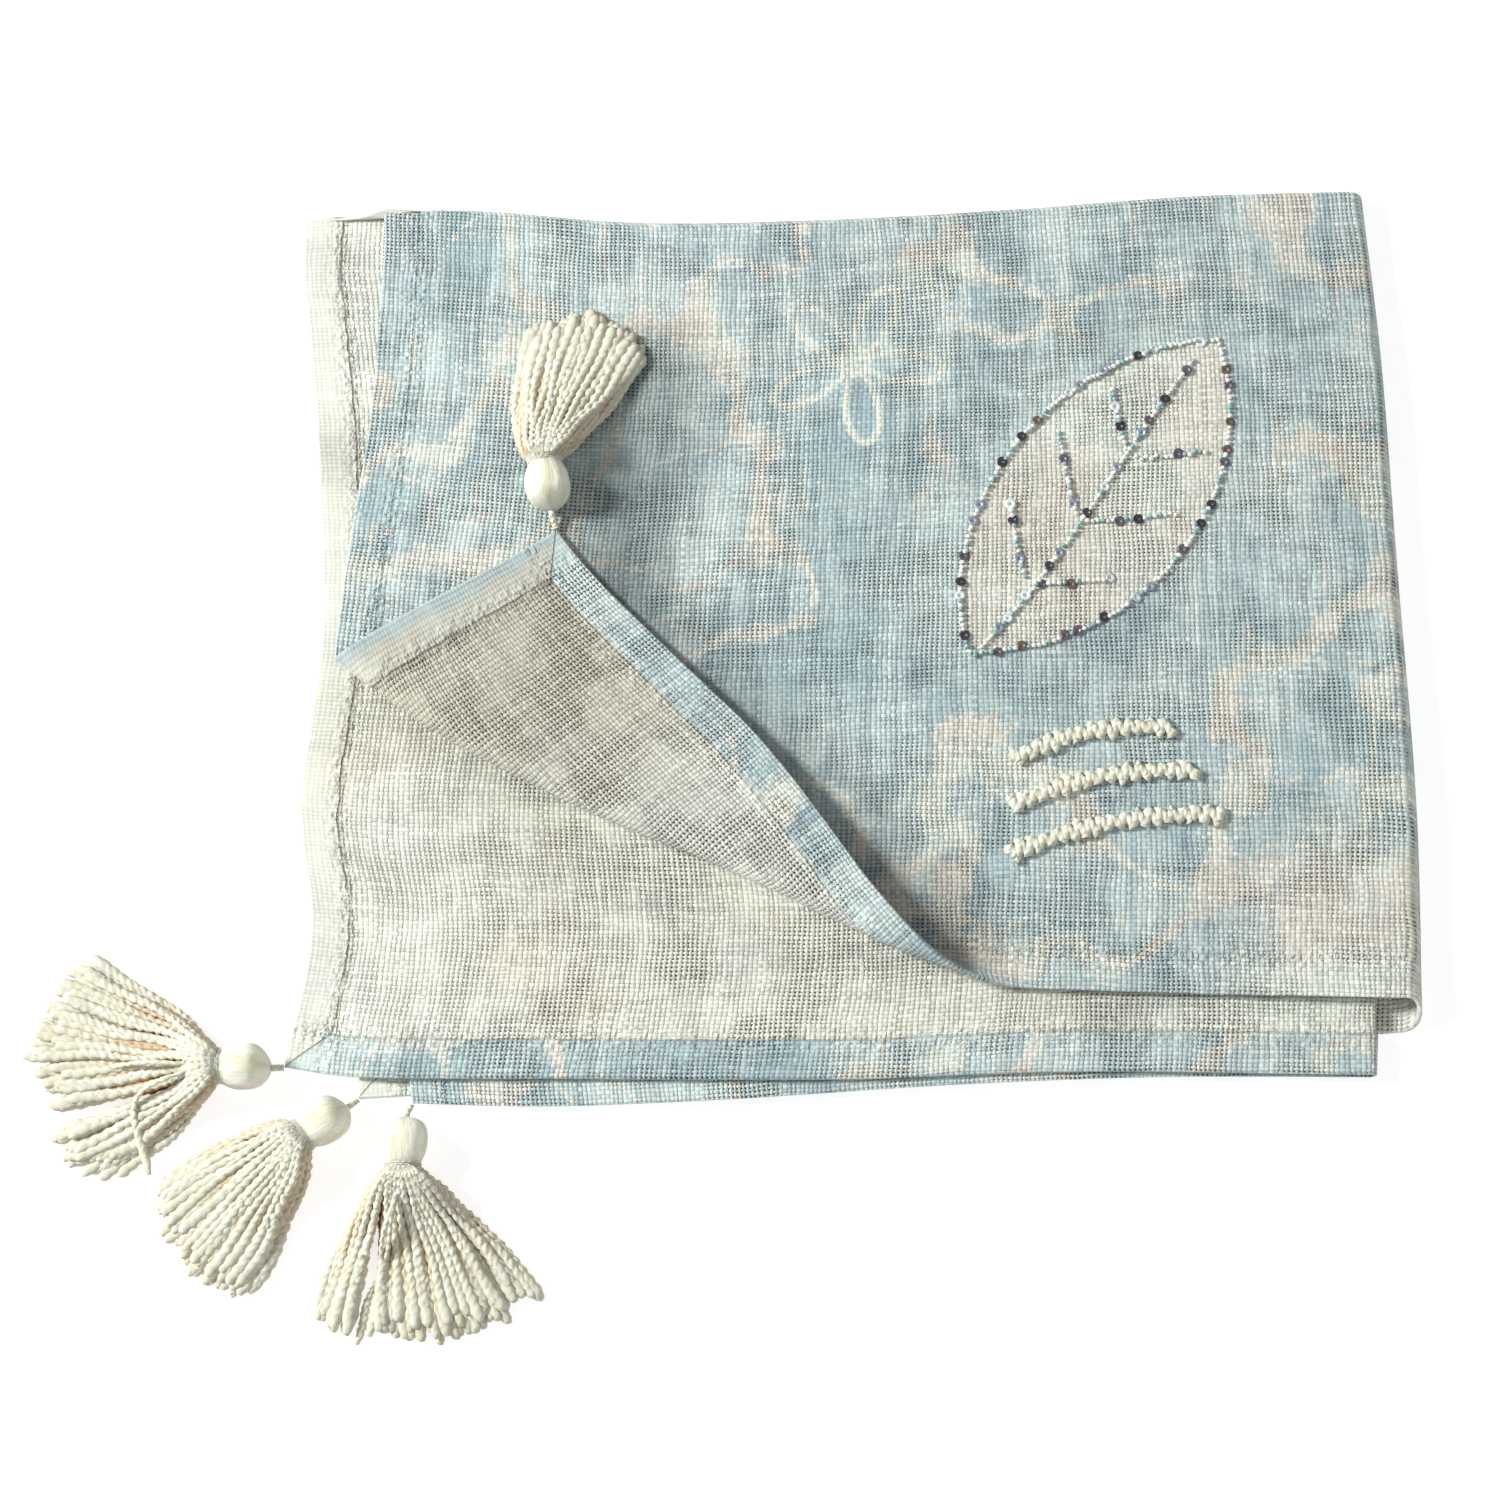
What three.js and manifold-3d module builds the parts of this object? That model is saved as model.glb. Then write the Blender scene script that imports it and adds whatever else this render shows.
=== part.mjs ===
// A cotton throw blanket, folded in quarters, with one corner of the top layer turned back.
// Millimetres, +Z up. The origin is on the floor under the middle of the folded stack,
// +X is to the right and +Y is away from the viewer.
import * as THREE from 'three';
import { mergeVertices } from 'three/addons/utils/BufferGeometryUtils.js';
import Module from 'manifold-3d';

const wasm = await Module();
wasm.setup();

// The cloth laid flat. u runs across the side fold and v across the top fold.
// Layer 1 is on top with its face up, 2 lies under it, then 3, and 4 is on the floor.
const CLOTH = { thickness: 2, hemWidth: 27, hemSlope: 3, hemRaise: 1.4 };
const SHEET = { halfLength: 752, outerDrop: 600, innerDrop: 645, sideTurn: 10, topTurn: 5 };

// The folds in section: the pair of layers turns on one circle at the side,
// and each cloth lies half a pair's gap in or out of it.
const STACK = { middle: 9.5, pairRadius: 5.25, halfGap: 3.25 };

// How much of the common unevenness each layer shows, from the top one down to the floor.
const RIPPLE_SHARE = { 1: 1, 2: 0.7, 3: 0.3, 4: 0 };

// The waves that make the cloth uneven: height, length, compass turn and shift of each.
const RIPPLES = [
  { height: 0.55, length: 310, turn: 0.35, shift: 0.4 },
  { height: 0.45, length: 230, turn: 1.35, shift: 2.1 },
  { height: 0.3, length: 170, turn: 2.2, shift: 4.4 },
  { height: 0.2, length: 130, turn: 0.9, shift: 1.2 },
];

// The four layers' outlines in plan. Each edge runs between two of the named corners,
// and its rows are the places where it bends.
const LAYERS = {
  1: {
    corners: {
      topRight: { x: 380, y: 331 }, topLeft: { x: -327, y: 319 },
      bottomRight: { x: 388, y: -266 }, bottomLeft: { x: -357, y: -243 },
    },
    top: [{ x: 270, y: 327 }, { x: 130, y: 317 }, { x: -10, y: 308 }, { x: -140, y: 306 }, { x: -240, y: 315 }],
    right: [{ x: 387, y: 213 }, { x: 390, y: 60 }, { x: 393, y: -130 }],
    bottom: [{ x: 200, y: -261 }, { x: 72, y: -257 }, { x: -60, y: -259 }, { x: -200, y: -263 }],
    left: [{ x: -328, y: 248 }, { x: -333, y: 155 }, { x: -350, y: 10 }, { x: -356, y: -110 }],
  },
  2: {
    corners: {
      topRight: { x: 372, y: 329 }, topLeft: { x: -386, y: 311 },
      bottomRight: { x: 363, y: -317 }, bottomLeft: { x: -378, y: -311 },
    },
    top: [{ x: 270, y: 326 }, { x: 130, y: 316 }, { x: -10, y: 307 }, { x: -140, y: 305 }, { x: -280, y: 313 }],
    right: [{ x: 374, y: 100 }, { x: 370, y: -150 }, { x: 366, y: -270 }],
    bottom: [{ x: 151, y: -315 }, { x: 11, y: -320 }, { x: -168, y: -320 }, { x: -329, y: -318 }],
    left: [{ x: -386, y: 276 }, { x: -372, y: 157 }, { x: -363, y: -10 }, { x: -374, y: -130 }, { x: -363, y: -210 }],
  },
  3: {
    corners: {
      topRight: { x: 372, y: 329 }, topLeft: { x: -370, y: 300 },
      bottomRight: { x: 363, y: -318 }, bottomLeft: { x: -290, y: -336 },
    },
    top: [{ x: 270, y: 325 }, { x: 130, y: 315 }, { x: -53, y: 303 }, { x: -199, y: 300 }],
    right: [{ x: 374, y: 100 }, { x: 370, y: -150 }, { x: 366, y: -270 }],
    bottom: [{ x: 220, y: -318 }, { x: 84, y: -323 }, { x: -89, y: -334 }, { x: -200, y: -338 }],
    left: [{ x: -338, y: 0 }],
  },
  4: {
    corners: {
      topRight: { x: 380, y: 331 }, topLeft: { x: -345, y: 306 },
      bottomRight: { x: 388, y: -286 }, bottomLeft: { x: -327, y: -332 },
    },
    top: [{ x: 270, y: 326 }, { x: 130, y: 316 }, { x: -53, y: 303 }, { x: -199, y: 301 }],
    right: [{ x: 387, y: 213 }, { x: 390, y: 60 }, { x: 393, y: -130 }],
    bottom: [{ x: 50, y: -312 }, { x: -292, y: -330 }],
    left: [{ x: -334, y: 0 }],
  },
};

// The side fold of the outer cloth stands fuller towards the viewer.
const SIDE_SWELL = [{ y: 335, swell: 0 }, { y: 0, swell: 0.6 }, { y: -290, swell: 2.6 }];
const SWELL_REACH = 130;

// Layer 2 reaches past the layers under it on the left and sinks towards the floor there.
const MARGIN_SAG = { depth: 6, reach: 75, layerOneShare: 0.75 };

// The turned-back corner. The roll runs along a nearly straight line, and each row gives
// how far along it is, how far the outside of the roll bows out of the line, and its radius.
const ROLL = {
  start: { x: -352, y: -22 },
  end: { x: 96, y: -250 },
  rows: [
    { along: -20, bow: -6, radius: 9 }, { along: 35, bow: 10, radius: 9.4 }, { along: 110, bow: 20, radius: 10 },
    { along: 220, bow: 20, radius: 11 }, { along: 325, bow: 11, radius: 12 }, { along: 430, bow: 11, radius: 12.8 },
    { along: 520, bow: 0, radius: 13.5 },
  ],
  ease: 40,
  settle: 150,
  restGap: 4.2,
};

const GRID = { upperSteps: 12, lowerSteps: 6, outerSteps: 10, innerSteps: 9, turnSteps: 5 };
const ROLL_LINES = { turnLines: 6, beyond: [40, 90] };
const SNAP = 2.5;

// A tassel's head, neck and skirt, as rows of distance from the cord's end and radius.
const HEAD_PROFILE = [
  { along: 0, radius: 3.4 }, { along: 2.5, radius: 8.5 }, { along: 8, radius: 13.6 }, { along: 16, radius: 15.8 },
  { along: 24, radius: 14.4 }, { along: 29.5, radius: 11.2 }, { along: 32, radius: 10 }, { along: 40, radius: 10 },
  { along: 44, radius: 11.6 }, { along: 52, radius: 13.4 },
];
const HEAD_SIDES = 12;
const HEAD_HEIGHT = 16;
// The end of the head at the cord hangs lower than the rest.
const HEAD_DROOP = { depth: 9.5, length: 14 };
const BINDING = { from: 32.6, to: 39.4, inner: 10.35, outer: 12.6, sides: 12 };
const CORD = { radius: 2.4, sides: 8, gap: 0.35, clothGap: 0.6, ease: 0.45, steps: 5 };

// A lock of yarn: its root in the neck, its full size, the height of one level above the last,
// and the shares of its length over which it settles, widens and thickens.
const LOCK = {
  rootDepth: 6, rootSpread: 10.5, rootWidth: 1.5, width: 7.4, height: 4, pitch: 4.4, tip: 0.35,
  fall: 0.42, widening: 0.7, thickening: 0.5,
};
const LOCK_STEPS = [0, 0.25, 0.55, 1];

// The locks' roots lie on a circle in the neck. Each level is narrower and shorter
// than the one below it, and its locks take turns in length.
const ROOTS = { heights: [-8.5, -3.6, 1.6, 6.6], circle: 13 };
const LEVEL = { inset: 0.02, narrower: 0.075, shorter: 0.045, uneven: 0.05, shifts: [0.35, 0.5], spare: 0.15 };

// Where each tassel hangs: which of the sheet's corners, where its head starts, which way
// the head points, its skirt from one side to the other, and the locks on each level.
const TASSELS = [
  {
    name: 'left', corner: { u: -1, v: 1 }, start: { x: -387, y: -311.5 }, turn: 180,
    skirt: [{ turn: 139, reach: 122 }, { turn: 174, reach: 128 }, { turn: 190, reach: 113 },
      { turn: 212, reach: 118 }, { turn: 229, reach: 100 }],
    locks: [12, 10, 8, 4], onCloth: false,
  },
  {
    name: 'middle', corner: { u: 1, v: -1 }, start: { x: -334, y: -338.5 }, turn: 215,
    skirt: [{ turn: 196, reach: 101 }, { turn: 221, reach: 112 }, { turn: 246, reach: 114 }, { turn: 257, reach: 102 }],
    locks: [10, 8, 6, 3], onCloth: false,
  },
  {
    name: 'right', corner: { u: 1, v: 1 }, start: { x: -293.5, y: -345 }, turn: 269,
    skirt: [{ turn: 238, reach: 112 }, { turn: 252, reach: 119 }, { turn: 266, reach: 108 },
      { turn: 281, reach: 114 }, { turn: 323, reach: 124 }],
    locks: [11, 10, 7, 4], onCloth: false,
  },
  {
    name: 'top', corner: { u: -1, v: -1 }, start: { x: -201, y: 84 }, turn: 98,
    skirt: [{ turn: 98, reach: 104 }, { turn: 72, reach: 121 }, { turn: 48, reach: 112 }],
    locks: [9, 8, 6, 3], onCloth: true,
  },
];
const CLOTH_CLEARANCE = 0.8;

const FACE_BLUE = { color: 0xb3cbd6, roughness: 0.95, metalness: 0 };
const YARN_CREAM = { color: 0xe6e0d4, roughness: 0.95, metalness: 0 };

// Small numeric helpers

const clamp01 = (t) => Math.min(1, Math.max(0, t));
const smooth = (t) => clamp01(t) ** 2 * (3 - 2 * clamp01(t));
const mix = (from, to, share) => from + (to - from) * share;

function mixPoints(from, to, share) {
  return { x: mix(from.x, to.x, share), y: mix(from.y, to.y, share) };
}

// The value of a column at a place between the rows of a table.
function column(rows, key, name, place) {
  const rising = rows[0][key] < rows[rows.length - 1][key];
  const sorted = rising ? rows : [...rows].reverse();
  const last = sorted.length - 1;
  let i = 0;
  while (i < last - 1 && sorted[i + 1][key] < place) i += 1;
  const share = clamp01((place - sorted[i][key]) / (sorted[i + 1][key] - sorted[i][key]));
  return mix(sorted[i][name], sorted[i + 1][name], share);
}

// The same, eased so that the slope does not jump at a row.
function easedColumn(rows, key, name, place, spread) {
  const shifts = [-1, -0.5, 0, 0.5, 1];
  const sum = shifts.reduce((total, shift) => total + column(rows, key, name, place + shift * spread), 0);
  return sum / shifts.length;
}

// A smooth edge through its corner, its rows and the next corner.
function edgeCurve(from, rows, to) {
  const points = [from, ...rows, to].map(({ x, y }) => new THREE.Vector3(x, y, 0));
  const curve = new THREE.CatmullRomCurve3(points, false, 'centripetal');
  curve.arcLengthDivisions = 120;
  return (share) => curve.getPointAt(clamp01(share));
}

// The outline of a layer filled in: a is 0 at the side fold and 1 at the hem,
// b is 0 at the top fold and 1 at the hem.
function layerPatch({ corners, top, right, bottom, left }) {
  const topEdge = edgeCurve(corners.topRight, top, corners.topLeft);
  const bottomEdge = edgeCurve(corners.bottomRight, bottom, corners.bottomLeft);
  const rightEdge = edgeCurve(corners.topRight, right, corners.bottomRight);
  const leftEdge = edgeCurve(corners.topLeft, left, corners.bottomLeft);
  const fill = (key, a, b) => {
    const across = mix(rightEdge(b)[key], leftEdge(b)[key], a);
    const down = mix(topEdge(a)[key], bottomEdge(a)[key], b);
    const upperCorners = mix(corners.topRight[key], corners.topLeft[key], a);
    const lowerCorners = mix(corners.bottomRight[key], corners.bottomLeft[key], a);
    return across + down - mix(upperCorners, lowerCorners, b);
  };
  return (a, b) => ({ x: fill('x', a, b), y: fill('y', a, b) });
}

const PATCHES = Object.fromEntries(Object.entries(LAYERS).map(([name, layer]) => [name, layerPatch(layer)]));
const layerThreeEdge = edgeCurve(LAYERS[3].corners.topLeft, LAYERS[3].left, LAYERS[3].corners.bottomLeft);

// The cloth's shape

function ripple({ x, y }) {
  return RIPPLES.reduce((sum, { height, length, turn, shift }) => {
    const along = x * Math.cos(turn) + y * Math.sin(turn);
    return sum + height * Math.sin((2 * Math.PI * along) / length + shift);
  }, 0);
}

// How far the cloth sinks where nothing lies under its left margin.
function marginSag({ x, y }) {
  const { topLeft, bottomLeft } = LAYERS[3].corners;
  const edge = layerThreeEdge((topLeft.y - y) / (topLeft.y - bottomLeft.y)).x;
  return MARGIN_SAG.depth * smooth((edge - x) / MARGIN_SAG.reach);
}

const rollSpan = Math.hypot(ROLL.end.x - ROLL.start.x, ROLL.end.y - ROLL.start.y);
const rollAlong = { x: (ROLL.end.x - ROLL.start.x) / rollSpan, y: (ROLL.end.y - ROLL.start.y) / rollSpan };
const rollOut = { x: rollAlong.y, y: -rollAlong.x };

// A point of the flat layer as seen from the roll: along it, and how far past its foot.
function rollPlace({ x, y }) {
  const offset = { x: x - ROLL.start.x, y: y - ROLL.start.y };
  const along = offset.x * rollAlong.x + offset.y * rollAlong.y;
  const radius = easedColumn(ROLL.rows, 'along', 'radius', along, ROLL.ease);
  const foot = easedColumn(ROLL.rows, 'along', 'bow', along, ROLL.ease) - radius;
  const past = offset.x * rollOut.x + offset.y * rollOut.y - foot;
  return { along, radius, foot, past };
}

// Turns the corner of the top layer back over its roll: where a point of the flat layer
// comes to lie, and how far above that layer.
function turnCorner(point) {
  const { along, radius, foot, past } = rollPlace(point);
  if (past <= 0) return { ...point, lift: 0 };
  const angle = Math.min(past / radius, Math.PI);
  const beyond = Math.max(past - Math.PI * radius, 0);
  const out = foot + radius * Math.sin(angle) - beyond;
  const fall = (2 * radius - ROLL.restGap) * smooth(beyond / ROLL.settle);
  return {
    x: ROLL.start.x + rollAlong.x * along + rollOut.x * out,
    y: ROLL.start.y + rollAlong.y * along + rollOut.y * out,
    lift: radius * (1 - Math.cos(angle)) - fall,
  };
}

// The middle of the cloth's thickness at a place on the flat sheet.
function place(u, v) {
  const a = clamp01((Math.abs(u) - SHEET.sideTurn) / (SHEET.halfLength - SHEET.sideTurn));
  const drop = v < 0 ? SHEET.outerDrop : SHEET.innerDrop;
  const b = clamp01((Math.abs(v) - SHEET.topTurn) / (drop - SHEET.topTurn));
  const sideAngle = (clamp01((u / SHEET.sideTurn + 1) / 2)) * Math.PI;
  const topAngle = (clamp01((v / SHEET.topTurn + 1) / 2)) * Math.PI;
  const outward = Math.cos(topAngle);
  const inner = (1 - outward) / 2;
  const lower = (1 - Math.cos(sideAngle)) / 2;
  const upperPoint = mixPoints(PATCHES[1](a, b), PATCHES[2](a, b), inner);
  const lowerPoint = mixPoints(PATCHES[4](a, b), PATCHES[3](a, b), inner);
  const point = mixPoints(upperPoint, lowerPoint, lower);
  point.y += STACK.halfGap * Math.sin(topAngle);

  const sideDistance = a * SHEET.halfLength;
  const swell = column(SIDE_SWELL, 'y', 'swell', point.y) * (1 - inner) * smooth(1 - sideDistance / SWELL_REACH);
  const radius = STACK.pairRadius + STACK.halfGap * outward + swell;
  const centre = STACK.middle + swell;
  point.x += radius * Math.sin(sideAngle);

  const upperShare = mix(RIPPLE_SHARE[1], RIPPLE_SHARE[2], inner);
  const lowerShare = mix(RIPPLE_SHARE[4], RIPPLE_SHARE[3], inner);
  const sagShare = mix(MARGIN_SAG.layerOneShare, 1, inner) * (1 - lower);
  const onLayerOne = u < 0 && v < 0;
  const { x, y, lift } = onLayerOne ? turnCorner(point) : { ...point, lift: 0 };
  const height = centre + radius * Math.cos(sideAngle) + lift
    + ripple({ x, y }) * mix(upperShare, lowerShare, lower)
    - marginSag({ x, y }) * sagShare;
  return new THREE.Vector3(x, y, height);
}

// The direction out of the face side, from two short steps on the sheet.
function faceNormal(u, v) {
  const step = 0.4;
  const alongU = place(Math.min(u + step, SHEET.halfLength), v).sub(place(Math.max(u - step, -SHEET.halfLength), v));
  const alongV = place(u, Math.min(v + step, SHEET.innerDrop)).sub(place(u, Math.max(v - step, -SHEET.outerDrop)));
  return alongU.cross(alongV).normalize();
}

function hemRaise(u, v) {
  const edge = Math.min(SHEET.halfLength - Math.abs(u), v < 0 ? SHEET.outerDrop + v : SHEET.innerDrop - v);
  return CLOTH.hemRaise * clamp01((CLOTH.hemWidth + CLOTH.hemSlope - edge) / CLOTH.hemSlope);
}

// The cloth's mesh on the flat sheet

function evenSteps(from, to, count) {
  return Array.from({ length: count }, (_, i) => mix(from, to, i / count));
}

function stations(firstEnd, firstSteps, turn, lastSteps, lastEnd) {
  const { hemWidth, hemSlope } = CLOTH;
  const firstInner = firstEnd + hemWidth + hemSlope;
  const lastInner = lastEnd - hemWidth - hemSlope;
  return [
    firstEnd, firstEnd + hemWidth,
    ...evenSteps(firstInner, -turn, firstSteps),
    ...evenSteps(-turn, turn, GRID.turnSteps),
    ...evenSteps(turn, lastInner, lastSteps),
    lastInner, lastEnd - hemWidth, lastEnd,
  ];
}

function flatGrid() {
  const us = stations(-SHEET.halfLength, GRID.upperSteps, SHEET.sideTurn, GRID.lowerSteps, SHEET.halfLength);
  const vs = stations(-SHEET.outerDrop, GRID.outerSteps, SHEET.topTurn, GRID.innerSteps, SHEET.innerDrop);
  const points = us.flatMap((u) => vs.map((v) => ({ u, v })));
  const triangles = [];
  for (let i = 0; i + 1 < us.length; i += 1) {
    for (let j = 0; j + 1 < vs.length; j += 1) {
      const corner = i * vs.length + j;
      const next = corner + vs.length;
      triangles.push([corner, next, next + 1], [corner, next + 1, corner + 1]);
    }
  }
  return { points, triangles };
}

// Layer 1 in its flat plan, before its corner is turned.
function flatPlan({ u, v }) {
  const a = clamp01((-u - SHEET.sideTurn) / (SHEET.halfLength - SHEET.sideTurn));
  const b = clamp01((-v - SHEET.topTurn) / (SHEET.outerDrop - SHEET.topTurn));
  return PATCHES[1](a, b);
}

// Cuts the triangles of layer 1 along the line where the cloth has turned by one angle,
// or lies one distance beyond the roll.
function cutAlong({ points, triangles }, turnedShare, beyond) {
  const values = points.map((point) => {
    if (point.u > -SHEET.sideTurn || point.v > -SHEET.topTurn) return -Infinity;
    const { past, radius } = rollPlace(flatPlan(point));
    const value = past - Math.PI * radius * turnedShare - beyond;
    return Math.abs(value) < SNAP ? 0 : value;
  });
  const cuts = new Map();
  const crossing = (i, j) => {
    const [first, last] = i < j ? [i, j] : [j, i];
    const key = `${first},${last}`;
    if (!cuts.has(key)) {
      const share = values[first] / (values[first] - values[last]);
      cuts.set(key, points.length);
      points.push({
        u: mix(points[first].u, points[last].u, share),
        v: mix(points[first].v, points[last].v, share),
      });
    }
    return cuts.get(key);
  };
  const crosses = (i, j) => Number.isFinite(values[i]) && Number.isFinite(values[j]) && values[i] * values[j] < 0;
  const parts = triangles.flatMap((triangle) => {
    for (let turn = 0; turn < 3; turn += 1) {
      const [a, b, c] = [0, 1, 2].map((k) => triangle[(k + turn) % 3]);
      if (crosses(a, b) && crosses(a, c)) {
        const ab = crossing(a, b);
        const ac = crossing(a, c);
        return [[a, ab, ac], [ab, b, c], [ab, c, ac]];
      }
    }
    for (let turn = 0; turn < 3; turn += 1) {
      const [a, b, c] = [0, 1, 2].map((k) => triangle[(k + turn) % 3]);
      if (crosses(b, c)) {
        const bc = crossing(b, c);
        return [[a, b, bc], [a, bc, c]];
      }
    }
    return [triangle];
  });
  return { points, triangles: parts };
}

// A closed solid: the face side, the reverse side and the rim between them.
function sheetSolid({ points, triangles }) {
  const half = CLOTH.thickness / 2;
  const middle = points.map(({ u, v }) => place(u, v));
  const normals = points.map(({ u, v }) => faceNormal(u, v));
  const face = middle.map((point, i) => point.clone().addScaledVector(normals[i], half));
  const reverse = middle.map((point, i) => {
    return point.clone().addScaledVector(normals[i], -half - hemRaise(points[i].u, points[i].v));
  });
  const count = points.length;
  const indices = triangles.flatMap(([a, b, c]) => [a, b, c, count + a, count + c, count + b]);
  const edges = new Set(triangles.flatMap(([a, b, c]) => [`${a},${b}`, `${b},${c}`, `${c},${a}`]));
  for (const edge of edges) {
    const [a, b] = edge.split(',').map(Number);
    if (!edges.has(`${b},${a}`)) indices.push(a, count + a, count + b, a, count + b, b);
  }
  const geometry = new THREE.BufferGeometry();
  const positions = [...face, ...reverse].flatMap((point) => point.toArray());
  geometry.setAttribute('position', new THREE.Float32BufferAttribute(positions, 3));
  geometry.setIndex(indices);
  return geometry;
}

function throwCloth() {
  let sheet = flatGrid();
  for (let line = 0; line < ROLL_LINES.turnLines; line += 1) {
    sheet = cutAlong(sheet, line / (ROLL_LINES.turnLines - 1), 0);
  }
  for (const beyond of ROLL_LINES.beyond) sheet = cutAlong(sheet, 1, beyond);
  return sheetSolid(sheet);
}

// Solids that are joined

function solidOf(geometry) {
  const bare = geometry.clone();
  bare.deleteAttribute('normal');
  bare.deleteAttribute('uv');
  const merged = mergeVertices(bare, 1e-4);
  return new wasm.Manifold(new wasm.Mesh({
    numProp: 3,
    vertProperties: Float32Array.from(merged.attributes.position.array),
    triVerts: Uint32Array.from(merged.index.array),
  }));
}

function geometryOf(solid) {
  const { vertProperties, triVerts } = solid.getMesh();
  const geometry = new THREE.BufferGeometry();
  geometry.setAttribute('position', new THREE.Float32BufferAttribute(vertProperties, 3));
  geometry.setIndex([...triVerts]);
  return geometry;
}

// The tassels

const direction = (degrees) => {
  const angle = THREE.MathUtils.degToRad(degrees);
  return { x: Math.cos(angle), y: Math.sin(angle) };
};

// What a tassel lies on: the floor, or the top layer.
function ground(tassel, { x, y }) {
  if (!tassel.onCloth) return 0;
  const top = STACK.middle + STACK.pairRadius + STACK.halfGap + CLOTH.thickness / 2;
  return top + ripple({ x, y }) + CLOTH_CLEARANCE;
}

// Turns a shape made round the Y axis to lie along the tassel.
function layAlong(geometry, tassel) {
  const toward = direction(tassel.turn);
  const along = new THREE.Vector3(toward.x, toward.y, 0);
  const up = new THREE.Vector3(0, 0, 1);
  const side = new THREE.Vector3().crossVectors(along, up);
  const height = HEAD_HEIGHT + ground(tassel, tassel.start);
  const basis = new THREE.Matrix4().makeBasis(side, along, up);
  basis.setPosition(tassel.start.x, tassel.start.y, height);
  return geometry.applyMatrix4(basis);
}

function tasselHead(tassel) {
  const last = HEAD_PROFILE[HEAD_PROFILE.length - 1];
  const profile = [
    new THREE.Vector2(0, 0),
    ...HEAD_PROFILE.map(({ along, radius }) => new THREE.Vector2(radius, along)),
    new THREE.Vector2(0, last.along),
  ];
  const head = new THREE.LatheGeometry(profile, HEAD_SIDES);
  const position = head.attributes.position;
  for (let i = 0; i < position.count; i += 1) {
    const near = Math.max(1 - position.getY(i) / HEAD_DROOP.length, 0);
    position.setZ(i, position.getZ(i) - HEAD_DROOP.depth * near ** 2);
  }
  return layAlong(head, tassel);
}

// One lock of yarn: a three-sided tapered strand with its flat side down.
function yarnLock(root, end, level, groundAt) {
  const plan = new THREE.Vector2(end.x - root.x, end.y - root.y).normalize();
  const side = new THREE.Vector2(-plan.y, plan.x);
  const corners = LOCK_STEPS.flatMap((share) => {
    const middle = mixPoints(root, end, share);
    const settled = level * LOCK.pitch + groundAt(middle);
    const base = mix(root.z, settled, smooth(share / LOCK.fall));
    const taper = share === 1 ? LOCK.tip : 1;
    const halfWidth = (mix(LOCK.rootWidth, LOCK.width, smooth(share / LOCK.widening)) * taper) / 2;
    const height = mix(LOCK.rootWidth, LOCK.height, smooth(share / LOCK.thickening)) * taper;
    return [
      [middle.x - side.x * halfWidth, middle.y - side.y * halfWidth, base],
      [middle.x + side.x * halfWidth, middle.y + side.y * halfWidth, base],
      [middle.x, middle.y, base + height],
    ];
  });
  const last = corners.length - 3;
  const indices = [0, 2, 1, last, last + 1, last + 2];
  for (let ring = 0; ring < last; ring += 3) {
    for (let k = 0; k < 3; k += 1) {
      const from = ring + k;
      const to = ring + ((k + 1) % 3);
      indices.push(from, to + 3, from + 3, from, to, to + 3);
    }
  }
  const geometry = new THREE.BufferGeometry();
  geometry.setAttribute('position', new THREE.Float32BufferAttribute(corners.flat(), 3));
  geometry.setIndex(indices);
  return geometry;
}

// The head with its skirt of locks. Each level's locks spread from one side to the other.
function tasselSolid(tassel) {
  const toward = direction(tassel.turn);
  const across = { x: -toward.y, y: toward.x };
  const rootAlong = HEAD_PROFILE[HEAD_PROFILE.length - 1].along - LOCK.rootDepth;
  const neckAlong = BINDING.to;
  const neck = { x: tassel.start.x + toward.x * neckAlong, y: tassel.start.y + toward.y * neckAlong };
  const firstTurn = tassel.skirt[0].turn;
  const lastTurn = tassel.skirt[tassel.skirt.length - 1].turn;
  const sense = Math.sign(lastTurn - firstTurn);
  let solid = solidOf(tasselHead(tassel));
  tassel.locks.forEach((count, level) => {
    const inset = LEVEL.inset + LEVEL.narrower * level;
    const spread = LOCK.rootSpread * Math.sqrt(1 - (ROOTS.heights[level] / ROOTS.circle) ** 2);
    for (let i = 0; i < count; i += 1) {
      const share = mix(inset, 1 - inset, (i + LEVEL.shifts[level % 2]) / (count - LEVEL.spare));
      const turn = mix(firstTurn, lastTurn, share);
      const cut = (1 - LEVEL.shorter * level) * (1 - LEVEL.uneven * ((i * 2 + level) % 3));
      const reach = column(tassel.skirt, 'turn', 'reach', turn) * cut;
      const out = direction(turn);
      const lateral = spread * sense * (2 * share - 1);
      const root = {
        x: tassel.start.x + toward.x * rootAlong + across.x * lateral,
        y: tassel.start.y + toward.y * rootAlong + across.y * lateral,
        z: HEAD_HEIGHT + ground(tassel, tassel.start) + ROOTS.heights[level],
      };
      const end = { x: neck.x + out.x * reach, y: neck.y + out.y * reach };
      solid = solid.add(solidOf(yarnLock(root, end, level, (point) => ground(tassel, point))));
    }
  });
  return geometryOf(solid);
}

function neckBinding(tassel) {
  const { from, to, inner, outer, sides } = BINDING;
  const round = (outer - inner) / 2;
  const profile = [
    [inner, from], [outer - round / 2, from], [outer, from + round], [outer, to - round],
    [outer - round / 2, to], [inner, to], [inner, from],
  ].map(([radius, along]) => new THREE.Vector2(radius, along));
  return layAlong(new THREE.LatheGeometry(profile, sides), tassel);
}

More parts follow.
